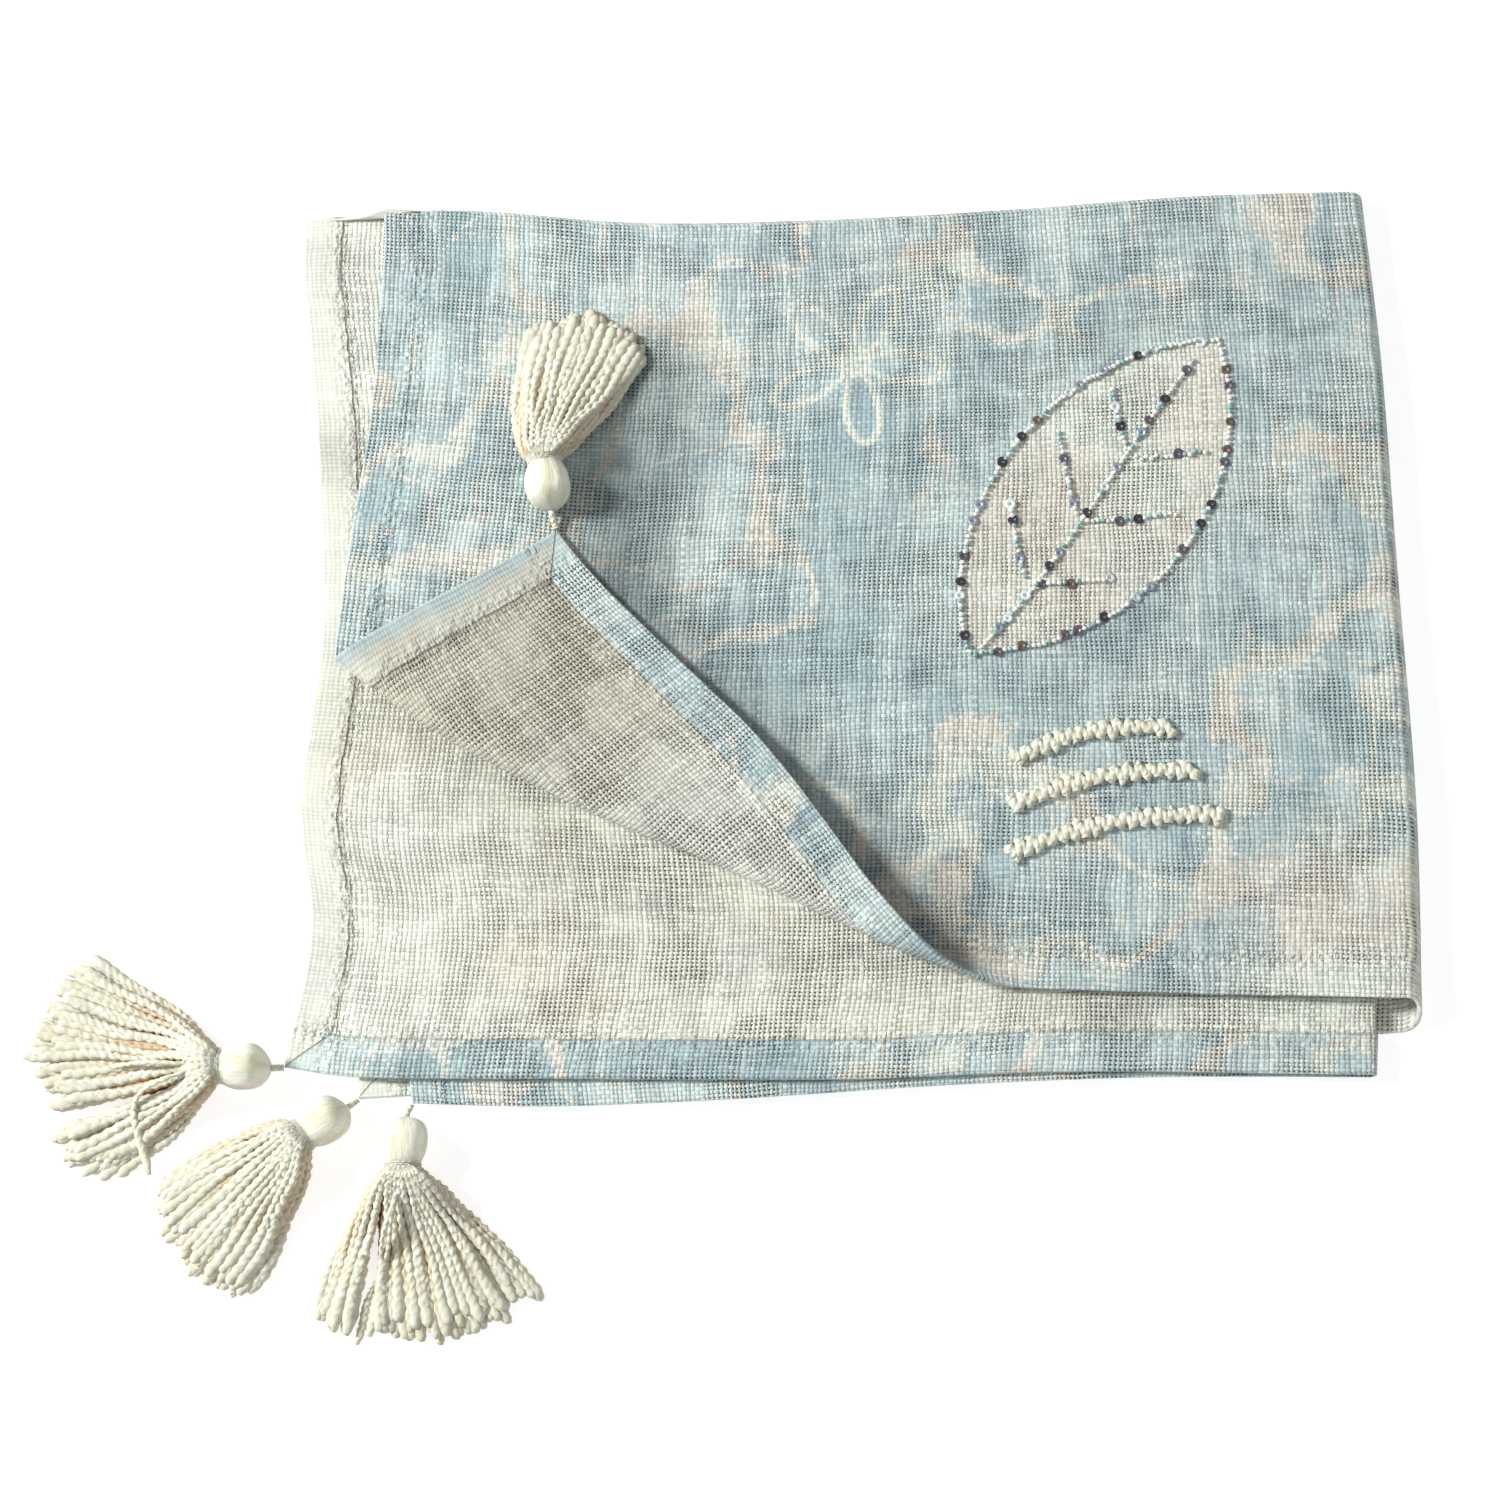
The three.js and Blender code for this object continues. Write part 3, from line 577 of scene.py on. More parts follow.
def weave(g, u, v):
    """A loose plain weave of uneven thread: its height, its holes and its streaks."""
    drift_u = g.noise(u, v, scale=26.0, detail=1.0) - 0.5
    drift_v = g.noise(u, v, scale=26.0, detail=1.0, z=7.0) - 0.5
    x = u / WARP_PITCH + drift_u * 1.3
    y = v / WEFT_PITCH + drift_v * 1.3
    warp_number = g.math("FLOOR", x)
    weft_number = g.math("FLOOR", y)
    warp_slub = g.noise(warp_number * 3.71, v * 34.0, detail=1.5)
    weft_slub = g.noise(u * 34.0, weft_number * 3.71, detail=1.5, z=40.0)
    warp_tone = g.noise(warp_number * 1.37, v * 9.0, detail=1.0, z=11.0)
    weft_tone = g.noise(u * 9.0, weft_number * 1.37, detail=1.0, z=23.0)
    openness = g.step(g.noise(u, v, scale=19.0, detail=2.0, z=16.0), 0.36, 0.64)
    wave_x = g.math("SINE", x * math.pi)
    wave_y = g.math("SINE", y * math.pi)
    slack = openness * 1.1 + 2.35
    warp_round = abs(wave_x) ** g.largest(slack - warp_slub * 4.1, 0.1)
    weft_round = abs(wave_y) ** g.largest(slack - weft_slub * 4.1, 0.1)
    warp = warp_round * (g.math("SIGN", wave_x) * wave_y * 0.5 + 0.5)
    weft = weft_round * (0.5 - g.math("SIGN", wave_y) * wave_x * 0.5)
    height = g.largest(warp, weft)
    hole = g.fade(g.largest(warp_round, weft_round), 0.31, 0.67) * (openness * 0.45 + 0.6)
    warp_on_top = g.math("GREATER_THAN", warp, weft)
    slub = warp_on_top * (warp_slub - weft_slub) + weft_slub
    tone = warp_on_top * (warp_tone - weft_tone) + weft_tone
    return {"height": height, "hole": hole, "slub": slub, "tone": tone}


def leaf_inside(g, u, v):
    """Above 0 inside the leaf, as the distance to its edge."""
    radius, offset = leaf_circle()
    to_side = left_of(direction(LEAF["turn"])) * offset
    distances = [g.length(u - float(LEAF["u"] + side * to_side[0]), v - float(LEAF["v"] + side * to_side[1]))
                 for side in (-1, 1)]
    return radius - g.largest(*distances)


def leaf_circle():
    half_length, half_width = LEAF["half_length"], LEAF["half_width"]
    radius = (half_length ** 2 + half_width ** 2) / (2 * half_width)
    return radius, radius - half_width


def flower_line(g, u, v):
    """How near a place is to the drawn flower's outline."""
    du, dv = u - FLOWER["u"], v - FLOWER["v"]
    reach = g.length(du, dv)
    angle = g.math("ARCTAN2", dv, du) * FLOWER["petals"] + FLOWER["turn"]
    outline = (g.math("COSINE", angle) * FLOWER["depth"] + (1.0 - FLOWER["depth"])) * FLOWER["radius"]
    slope = g.math("SINE", angle) * (FLOWER["depth"] * FLOWER["radius"] * FLOWER["petals"])
    slope = slope / g.largest(reach, 0.004)
    petals = abs(reach - outline) / g.length(slope, 1.0)
    return g.math("MINIMUM", petals, abs(reach - FLOWER["heart"]))


def segment_distance(g, u, v, line):
    """How far a place on the flat sheet is from a straight line between two places."""
    (from_u, from_v), (to_u, to_v) = line["from"], line["to"]
    run_u, run_v = to_u - from_u, to_v - from_v
    du, dv = u - from_u, v - from_v
    share = g.math("MULTIPLY", du * run_u + dv * run_v, 1 / (run_u ** 2 + run_v ** 2), clamp=True)
    return g.length(du - share * run_u, dv - share * run_v)


def face_color(g, u, v, threads):
    """The washed blue print with its pale veins and the two motifs, with painted shadows beside the turned
    corner and below the top tassel.
    """
    cloud = g.noise(u * 11.0, v * 7.0, detail=3.0, roughness=0.55, z=9.0)
    patch = g.noise(u * 24.0, v * 13.0, detail=3.0, roughness=0.6, z=3.0)
    streak = g.noise(u * 150.0, v * 8.0, detail=2.0, z=6.0) - 0.5
    rub = g.noise(u * 90.0, v * 340.0, detail=1.0) + g.noise(u * 340.0, v * 90.0, detail=1.0, z=3.0) - 1.0
    blue = g.blend(g.step(cloud * 0.8 + streak * 0.55 + 0.1, 0.34, 0.64), MID_BLUE, PALE_BLUE)
    blue = g.blend(g.step(patch * 0.85 + streak * 0.5 + 0.075, 0.5, 0.76) * 0.55, blue, DEEP_BLUE)
    wide = g.step(g.noise(u, v, scale=9.0, detail=2.0, z=14.0), 0.34, 0.66) * 0.016 + 0.008
    ragged = rub * 0.042 + (patch - 0.5) * 0.022
    vein = abs(g.noise(u, v, scale=4.4, detail=2.5, z=2.0) - 0.5) + ragged
    twig = abs(g.noise(u, v, scale=9.0, detail=1.5, z=8.0) - 0.5) + ragged
    blot = g.step(g.noise(u, v, scale=4.6, detail=4.0, roughness=0.65, z=20.0) + rub * 0.1, 0.62, 0.73)
    pale = g.largest(g.step(wide - vein, -0.006, 0.008), g.step(wide - twig, 0.006, 0.02) * 0.8, blot * 0.7)
    for spot in CLOUDS:
        away = g.length(u - spot["u"], v - spot["v"]) / spot["radius"] + (cloud - 0.5) * 1.6 + rub * 0.3
        pale = g.largest(pale, g.fade(away, 0.55, 1.05))
    inside = leaf_inside(g, u, v)
    from_flower = g.length(u - FLOWER["u"], v - FLOWER["v"])
    near_flower = g.fade(from_flower, FLOWER["radius"], FLOWER["radius"] + 0.03)
    pale = pale * (1.0 - g.largest(g.step(inside, -0.05, -0.02), near_flower) * 0.85)
    pale = g.largest(pale, g.step(inside + rub * 0.004, -0.002, 0.003))
    cream = g.blend(g.step(g.noise(u, v, scale=14.0, detail=2.0), 0.35, 0.65), PINK_CREAM, CREAM)
    color = g.blend(pale * 0.88, blue, cream)
    sketch = flower_line(g, u, v) + rub * 0.001 + (patch - 0.5) * 0.001
    drawn = g.fade(sketch, FLOWER["line"] * 0.7, FLOWER["line"] * 1.5)
    color = g.blend(drawn * 0.88, color, CREAM)
    # Painted shadows of the turned corner and the top tassel
    for painted_shadow in PAINTED_SHADOWS:
        near = g.fade(segment_distance(g, u, v, painted_shadow) + (cloud - 0.5) * 0.02, 0.0, painted_shadow["reach"])
        color = g.brighten(color, 1.0 - near * painted_shadow["depth"])
    # The holes' painted shade, bluer under the blue print
    hole = g.blend(pale, BLUE_HOLE, TAN_HOLE)
    return finish_threads(g, color, hole, threads)


def finish_threads(g, color, hole_color, threads):
    """Adds each thread's own lightness with painted shade and highlight by its height, and the painted shade
    of the holes.
    """
    light = (threads["slub"] - 0.5) * 0.46 + (threads["tone"] - 0.5) * 0.74
    # Painted shade and highlight: each thread lighter on its crown and darker at its sides
    light = light + (threads["height"] - 0.6) * 0.36 + 1.0
    return g.blend(threads["hole"] * 0.95, g.brighten(color, light), hole_color)


def cream_color(g, u, v, threads, grey, shaded):
    """The unprinted reverse, a little uneven where the print shows through, and darkened by the painted shade
    that grey and shaded give.
    """
    ghost = g.noise(u * 7.0, v * 13.0, detail=4.0, roughness=0.62, z=3.0) + g.step(0.0 - v, 0.0, 0.1) * 0.08
    warm = g.noise(u, v, scale=8.0, detail=2.0, z=31.0)
    color = g.blend(g.step(warm, 0.4, 0.7) * 0.7, CREAM, WARM_CREAM)
    color = g.blend(g.largest(g.step(ghost, 0.46, 0.68) * 0.65, grey), color, GREY_CREAM)
    color = g.blend(shaded, color, SHADED_CREAM)
    return finish_threads(g, color, TAN_HOLE, threads)


def gathers(g, u, v, distance):
    """The fine creases that the sewing draws into the cloth beside a hem's stitches."""
    near = g.fade(abs(distance - CLOTH["hem_width"] * MM), 0.0, 0.016)
    return (g.noise(u, v, scale=190.0, detail=2.0, z=12.0) - 0.5) * near


def stitch_row(g, distance, along):
    """A row of stitches a hem's width inside the edge: 1 on the thread's dents."""
    near = g.fade(abs(distance - CLOTH["hem_width"] * MM), 0.0006, 0.0014)
    return near * g.step(g.math("PINGPONG", along, 0.0021), 0.0004, 0.0009)


def cloth_graph(name):
    """A graph with the place on the sheet, the distances to its edges, its threads and its gathers."""
    g = Graph(name)
    u, v = g.uv("cloth")
    du, dv = g.uv("hem")
    return g, u, v, du, dv, weave(g, u, v), gathers(g, u, v, du) + gathers(g, u, v, dv)


def face_material():
    g, u, v, du, dv, threads, creases = cloth_graph("slub_cotton_face")
    stitches = g.largest(stitch_row(g, du, v), stitch_row(g, dv, u))
    color = g.brighten(face_color(g, u, v, threads), 1.0 - stitches * 0.08)
    relief = threads["height"] * 0.75 + threads["slub"] * 0.35 - stitches * 0.5 + creases * 3.0
    return g.finish(color, relief, bump=0.0013, Roughness=0.92, Sheen_Weight=0.25, Specular_IOR_Level=0.15)


def reverse_material():
    g, u, v, du, dv, threads, creases = cloth_graph("slub_cotton_reverse")
    hem = CLOTH["hem_width"] * MM
    doubled = g.step(hem - du, -0.002, 0.002)
    on_flap = g.math("LESS_THAN", u, 0.0) * g.step(0.0 - v, 0.02, 0.12)
    close = g.fade(du, hem + 0.03, hem + 0.14) * (1.0 - on_flap)
    covered = (1.0 - doubled * 0.8) * (1.0 - close * 0.6)
    # The holes close up on and beside the hem; on the turned flap they are darker, as painted shade
    threads["hole"] = threads["hole"] * covered * (on_flap * 0.7 + 1.0)
    threads["slub"] = (threads["slub"] - 0.5) * (1.0 - doubled * 0.75) + 0.5
    threads["tone"] = (threads["tone"] - 0.5) * (1.0 - doubled * 0.6) + 0.5
    on_end_hem = g.math("LESS_THAN", dv, hem + 0.001) * g.math("LESS_THAN", dv, du)
    # Painted shade on the turned flap: greyer and darker towards its side hem, less on its doubled hem
    grey = on_flap * g.fade(du, 0.16, 0.34) * 0.4
    # Painted shadow of the turned corner on the layer below it
    flap_shadow = g.fade(segment_distance(g, u, v, REVERSE_PAINTED_SHADOW), 0.0, REVERSE_PAINTED_SHADOW["reach"])
    shaded = on_flap * g.fade(du, 0.07, 0.24) * (0.75 - doubled * 0.4) + flap_shadow * REVERSE_PAINTED_SHADOW["depth"]
    plain = g.brighten(cream_color(g, u, v, threads, grey, shaded), close * 0.04 - doubled * 0.07 + 1.0)
    color = g.blend(on_end_hem, plain, face_color(g, u, v, threads))

    bleed = g.noise(u * 30.0, v * 30.0, detail=3.0, roughness=0.65, z=5.0) - 0.5
    spill = g.fade(du + bleed * 0.018, 0.004, 0.013) * on_flap
    spilt = g.blend(g.step(bleed, -0.06, 0.2), MID_BLUE, DEEP_BLUE)
    color = g.blend(spill * 0.72 * (1.0 - on_end_hem), color, finish_threads(g, spilt, BLUE_HOLE, threads))

    wander = (g.noise(u, v, scale=70.0, detail=3.0) - 0.5) * 0.0042
    broken = g.step(g.noise(u, v, scale=95.0, detail=1.0, z=4.0), 0.36, 0.5)
    side_gap = g.fade(abs(du - hem + wander - 0.001), 0.0002, 0.0009)
    side_gap = side_gap * g.step(dv - du, -0.002, 0.0) * (broken * 0.7 + 0.3)
    end_gap = g.fade(abs(dv - hem + wander - 0.001), 0.0003, 0.0012) * g.step(du - dv, -0.002, 0.0)
    mitre = g.fade(abs(du - dv), 0.0004, 0.0014) * g.math("LESS_THAN", g.largest(du, dv), hem)
    color = g.blend(side_gap * (0.75 - on_flap * 0.45), color, SEAM_BROWN)
    for seam in (end_gap, mitre):
        color = g.blend(seam * 0.4, color, SEAM_GREY)
    relief = (threads["height"] * 0.75 + threads["slub"] * 0.35) * (1.0 - doubled * 0.75)
    relief = relief - g.largest(side_gap, end_gap, mitre) * 0.7 + creases * 3.0
    return g.finish(color, relief, bump=0.0013, Roughness=0.94, Sheen_Weight=0.25, Specular_IOR_Level=0.12)


# Loosely spun cotton lets light some millimetres in, warmer the deeper it goes.
COTTON_YARN = {"Roughness": 0.95, "Sheen_Weight": 0.12, "Specular_IOR_Level": 0.1, "Subsurface_Weight": 0.2,
               "Subsurface_Radius": (1.0, 0.92, 0.82), "Subsurface_Scale": 0.002}


def yarn_material(name, twist, fibres, lightness=1.0):
    """Cream cotton yarn. Its layers say how far along and round it a place is, how much painted shade it
    takes for lying deep or underneath, and how loose.
    """
    g = Graph(name)
    along, around = g.uv("along")
    deep, loose = g.uv("deep")
    fuzz = g.object_noise(150.0, 3.0)
    lines = g.math("SINE", (along / twist + around * fibres) * (2 * math.pi)) * 0.5 + 0.5
    color = g.blend(g.step(fuzz, 0.35, 0.7), YARN_SHADE, YARN_LIGHT)
    # Painted shade where the yarn lies deep in the skirt or underneath
    color = g.blend(deep, color, YARN_PAINTED_SHADE)
    twisted = 1.0 - loose * 0.8
    color = g.brighten(color, (lines * twisted * 0.1 + 0.9) * lightness)
    height = lines * twisted * 0.6 + fuzz * 0.6
    return g.finish(color, height, bump=0.0008, **COTTON_YARN)


def wound_material():
    """The head's smooth wound yarn: fine uneven fibres along it and a few soft creases."""
    g = Graph("wound_yarn")
    along, around = g.uv("along")
    fibres = g.noise(along * 42.0, around * 62.0, detail=3.0, roughness=0.6)
    creases = g.noise(along * 26.0, around * 9.0, detail=2.0, z=5.0)
    color = g.blend(g.step(creases, 0.35, 0.65), YARN_SHADE, YARN_LIGHT)
    lines = g.step(fibres, 0.36, 0.6)
    color = g.brighten(color, lines * 0.18 + g.step(creases, 0.3, 0.62) * 0.08 + 1.09)
    relief = fibres * 1.2 + creases * 1.4
    settings = {**COTTON_YARN, "Subsurface_Weight": 0.9, "Subsurface_Scale": 0.01,
                "Subsurface_Radius": (1.0, 0.97, 0.92)}
    return g.finish(color, relief, bump=0.003, **settings)


def bead_material(name, color, roughness, metallic):
    g = Graph(name)
    speck = g.object_noise(700.0, 2.0)
    mottled = g.brighten(color[:3], speck * 0.5 + 0.75)
    return g.finish(mottled, speck, bump=0.0002, Roughness=roughness, Metallic=metallic, Coat_Weight=0.4)


# The throw


def leg(edge, turn, step):
    """Places from an edge of the sheet in to its fold, with rows at the hem's slope."""
    hem, slope = CLOTH["hem_width"], CLOTH["hem_slope"]
    on_hem = np.linspace(3, hem, max(3, round((hem - 3) / min(step, STEP["hem"]))))
    flat = edge - turn - hem - slope
    inside = np.linspace(hem + slope, edge - turn, round(flat / step) + 1)[1:-1]
    return edge - np.array([*EDGE_ROWS, *on_hem, hem + slope * 0.5, hem + slope, *inside])


def stations(first, first_step, turn, last, last_step):
    """Places along the whole sheet, from edge to edge and round the fold."""
    turns = np.linspace(-turn, turn, STEP["turn_count"] + 1)
    return np.concatenate([-leg(first, turn, first_step), turns, leg(last, turn, last_step)[::-1]])


def quads_of(index):
    """The quads of a grid of numbered points."""
    corners = [index[:-1, :-1], index[1:, :-1], index[1:, 1:], index[:-1, 1:]]
    return np.stack([corner.ravel() for corner in corners], axis=1)


def make_cloth():
    half_length = SHEET["half_length"]
    us = stations(half_length, STEP["upper"], SHEET["side_turn"], half_length, STEP["lower"])
    vs = stations(SHEET["outer_drop"], STEP["outer"], SHEET["top_turn"], SHEET["inner_drop"], STEP["inner"])
    u, v = [grid.ravel() for grid in np.meshgrid(us, vs, indexing="ij")]
    middle, normal = place(u, v), face_normal(u, v)
    to_edge = np.clip(np.minimum(*edge_distances(u, v)) / 1.2, 0, 1)
    rounded = np.sqrt(np.clip(1 - (1 - to_edge) ** 2, 0.02, 1))[:, None]
    on_floor = ((u > 0) & (v < 0))[:, None]
    pucker = np.where(on_floor, 0, hem_pucker(u, v)[:, None])
    half = CLOTH["thickness"] / 2
    face = middle + normal * (half * np.where(on_floor, 1.0, rounded) + pucker)
    reverse = middle - normal * ((half + hem_raise(u, v)[:, None]) * rounded - pucker)

    index = np.arange(len(u)).reshape(len(us), len(vs))
    quads = quads_of(index)
    loop = np.concatenate([index[:, 0], index[-1, 1:], index[-2::-1, -1], index[0, -2:0:-1]])
    after = np.roll(loop, -1)
    rim = np.stack([after, loop, loop + len(u), after + len(u)], axis=1)
    faces = np.vstack([quads, quads[:, [0, 3, 2, 1]] + len(u), rim])
    indices = np.concatenate([np.zeros(len(quads)), np.ones(len(quads)), np.zeros(len(rim))])
    layers = {"cloth": np.stack([u, v], axis=1), "hem": np.stack(edge_distances(u, v), axis=1)}
    uvs = {name: np.tile(pairs * MM, (2, 1)) for name, pairs in layers.items()}
    return make_object("cotton_throw", np.vstack([face, reverse]), faces.tolist(),
                       [face_material(), reverse_material()], indices, uvs)


# The sewn-on beads, sequins and ruffled rows


def surface_frame(u, v):
    """Points on the printed face with their directions along u, along v and outward."""
    normal = face_normal(u, v)
    point = place(u, v) + normal * CLOTH["thickness"] / 2
    along = unit(place(u + 0.5, v) - place(u - 0.5, v))
    along = unit(along - normal * np.sum(along * normal, axis=-1, keepdims=True))
    return point, along, np.cross(normal, along), normal


def leaf_rows():
    """The sewn lines of the leaf as lists of places on the flat sheet, in millimetres."""
    radius, offset = leaf_circle()
    half = math.asin(LEAF["half_length"] / radius)
    centre = np.array([LEAF["u"], LEAF["v"]])
    along = direction(LEAF["turn"])
    across = left_of(along)
    rows = []
    for side in (-1, 1):
        angles = np.linspace(-half, half, 200)[:, None]
        rows.append(centre - across * offset * side
                    + side * across * radius * np.cos(angles) + along * radius * np.sin(angles))
    t = np.linspace(-1, 0.86, 160)[:, None]
    rows.append(centre + along * LEAF["half_length"] * t + across * 0.006 * np.sin(2.2 * t))
    for start in (-0.55, -0.15, 0.25):
        for side in (-1, 1):
            s = np.linspace(0.06, 1, 60)[:, None]
            reach = 0.74 * (LEAF["half_width"] * (1 - (start + 0.2) ** 2))
            rows.append(centre + along * (LEAF["half_length"] * start + reach * 0.85 * s)
                        + side * across * reach * s ** 0.9)
    return [row / MM for row in rows]


def revolve(profile, segments, closed=False):
    """A closed form turned round the Z axis. Points of the profile on the axis become poles."""
    points, rings = [], []
    for radius, height in profile:
        if radius == 0:
            rings.append([len(points)] * segments)
            points.append((0.0, 0.0, height))
            continue
        rings.append(list(range(len(points), len(points) + segments)))
        points += [(radius * math.cos(t), radius * math.sin(t), height) for t in ring_angles(segments)]
    faces = []
    for low, high in zip(rings, rings[1:] + rings[:1] if closed else rings[1:]):
        for k in range(segments):
            j = (k + 1) % segments
            face = [low[k], low[j], high[j], high[k]]
            faces.append([p for i, p in enumerate(face) if p not in face[:i]])
    return np.array(points), faces


# A seed bead is a short round barrel with a sunk end at each side, and a sequin a thin cupped disc
# with a small hole. Each gives the sizes, the tilts and the places that its pieces vary within.
BEAD_PROFILE = [(0.0, -0.55), (0.45, -0.8), (0.85, -0.55), (1.0, 0.0), (0.85, 0.55), (0.45, 0.8), (0.0, 0.55)]
SEQUIN_PROFILE = [(0.16, 0.02), (0.6, 0.05), (1.0, 0.17), (1.0, 0.21), (0.6, 0.09), (0.16, 0.06)]
BEAD = {
    "form": revolve(BEAD_PROFILE, 8),
    "radius": 1.85, "sizes": (0.82, 1.1), "lean": 1.5, "tilt": 0.25, "lift": -0.15, "stray": 0.55,
}
SEQUIN = {
    "form": revolve(SEQUIN_PROFILE, 16, closed=True),
    "radius": 3.8, "sizes": (0.9, 1.05), "lean": 0.0, "tilt": 0.13, "lift": 0.35, "stray": 0.7,
}
BEAD_STEP = 3.7
SEQUIN_STEP = 6.0
BEADS_BETWEEN = (4, 2, 6, 0, 3, 5, 1, 7)
AQUA_SHARE = 0.3
BEAD_LOOKS = [("bead_white", (236, 236, 228), 0.3, 0.0), ("bead_aqua", (136, 178, 180), 0.3, 0.0)]
SEQUIN_LOOKS = [
    ("sequin_dark", (62, 60, 68), 0.3, 0.4), ("sequin_bronze", (112, 98, 84), 0.35, 0.35),
    ("sequin_mauve", (104, 96, 106), 0.3, 0.35), ("sequin_grey", (148, 158, 172), 0.3, 0.3),
    ("sequin_pearl", (214, 220, 222), 0.3, 0.1),
]


def sewn_order(length, number):
    """Where the beads and sequins of a row lie along it, with each one's kind."""
    at, kinds, turn = 1.0, [], number
    while at < length:
        kinds.append((at, False))
        for _ in range(BEADS_BETWEEN[turn % len(BEADS_BETWEEN)]):
            at += BEAD_STEP
            kinds.append((at, False))
        at += (BEAD_STEP + SEQUIN_STEP) / 2
        kinds.append((at, True))
        at += (BEAD_STEP + SEQUIN_STEP) / 2
        turn += 1
    return [(at, is_sequin) for at, is_sequin in kinds if at < length]


def sewn_points(kind, axes, rng):
    """A bead's or sequin's points about its place, each time a little differently turned and sized."""
    tilts = rng.normal(0, kind["tilt"], 2)
    rotation = turned(kind["lean"] + tilts[0], tilts[1], rng.uniform(0, 6.3))
    local = (kind["form"][0] * kind["radius"] * rng.uniform(*kind["sizes"])) @ rotation.T
    lift = kind["lift"] - local[:, 2].min()
    return axes[2] * lift + axes[1] * rng.normal(0, kind["stray"]) + local @ axes


def make_sewn_beads():
    rng = np.random.default_rng(5)
    beads, sequins = MeshParts(), MeshParts()
    for number, row in enumerate(leaf_rows()):
        length = distances_along(row)
        sewn = sewn_order(length[-1], number)
        at = [place_along for place_along, _ in sewn]
        spots = [np.interp(at, length, column) for column in row.T]
        points, *axes = surface_frame(*spots)
        for k, (_, is_sequin) in enumerate(sewn):
            kind = SEQUIN if is_sequin else BEAD
            form_points = points[k] + sewn_points(kind, np.stack([axis[k] for axis in axes]), rng)
            if is_sequin:
                sequins.add(form_points, SEQUIN["form"][1], material=int(rng.integers(0, len(SEQUIN_LOOKS))))
            else:
                beads.add(form_points, BEAD["form"][1], material=int(rng.random() < AQUA_SHARE))
    bead_looks, sequin_looks = [[bead_material(name, srgb(*color), roughness, metallic)
                                 for name, color, roughness, metallic in looks]
                                for looks in (BEAD_LOOKS, SEQUIN_LOOKS)]
    return beads.make("seed_beads", bead_looks), sequins.make("flat_sequins", sequin_looks)


def turned(x, y, z):
    """The rotation by three angles, one after another."""
    cx, sx, cy, sy, cz, sz = [wave(angle) for angle in (x, y, z) for wave in (math.cos, math.sin)]
    about_x = np.array([[1, 0, 0], [0, cx, -sx], [0, sx, cx]])
    about_y = np.array([[cy, 0, sy], [0, 1, 0], [-sy, 0, cy]])
    about_z = np.array([[cz, -sz, 0], [sz, cz, 0], [0, 0, 1]])
    return about_x @ about_y @ about_z


RUFFLE = {
    "middle": (-215.0, -455.0), "turn": 12.0, "length": 150.0, "gap": 34.0, "rows": 3,
    "swing": 5.4, "wave": 8.2, "yarn": 3.4, "bow": 9.0,
}


def make_ruffles(material):
    """Rows of yarn sewn down in tight swings."""
    rng = np.random.default_rng(8)
    parts = MeshParts()
    along = direction(RUFFLE["turn"])
    for row in range(RUFFLE["rows"]):
        length = RUFFLE["length"] * (1 - 0.12 * row)
        s = np.arange(0, length, RUFFLE["wave"] / 10)
        share = s / length
        phase = 2 * math.pi * s / RUFFLE["wave"] + 0.5 * np.sin(s / 9.0 + row)
        swing = RUFFLE["swing"] * (1 + 0.22 * np.sin(s / 7.0 + 2 * row)) * np.sin(phase)
        lean = 1.3 * np.sin(2 * phase + 0.4)
        offset = RUFFLE["gap"] * (row - 1) + RUFFLE["bow"] * np.sin(math.pi * share) + swing
        spots = np.array(RUFFLE["middle"]) + np.outer(s - length / 2 + lean, along)
        points, _, _, normal = surface_frame(*(spots + np.outer(offset, left_of(along))).T)
        rise = 1.2 + 0.9 * (1 - np.abs(np.sin(phase))) + rng.normal(0, 0.06, len(s))
        radii = RUFFLE["yarn"] * (1 + 0.1 * np.sin(s * 2.6))[:, None] * np.ones(8)
        parts.add(*tube(points + normal * rise[:, None], radii))
    return parts.make("ruffled_rows", [material])


# The tassels


def ground(tassel, x, y):
    """What a tassel lies on: the floor, or the top layer."""
    if not tassel["on_cloth"]:
        return np.zeros_like(x)
    top = STACK["middle"] + STACK["pair_radius"] + STACK["half_gap"] + CLOTH["thickness"] / 2
    return top + ripple(x, y) + CLOTH_CLEARANCE


def tassel_axes(tassel):
    toward = direction(tassel["turn"])
    start = np.array(tassel["start"], float)
    base = float(ground(tassel, np.array([start[0]]), np.array([start[1]]))[0])
    return start, toward, left_of(toward), base + HEAD["height"]


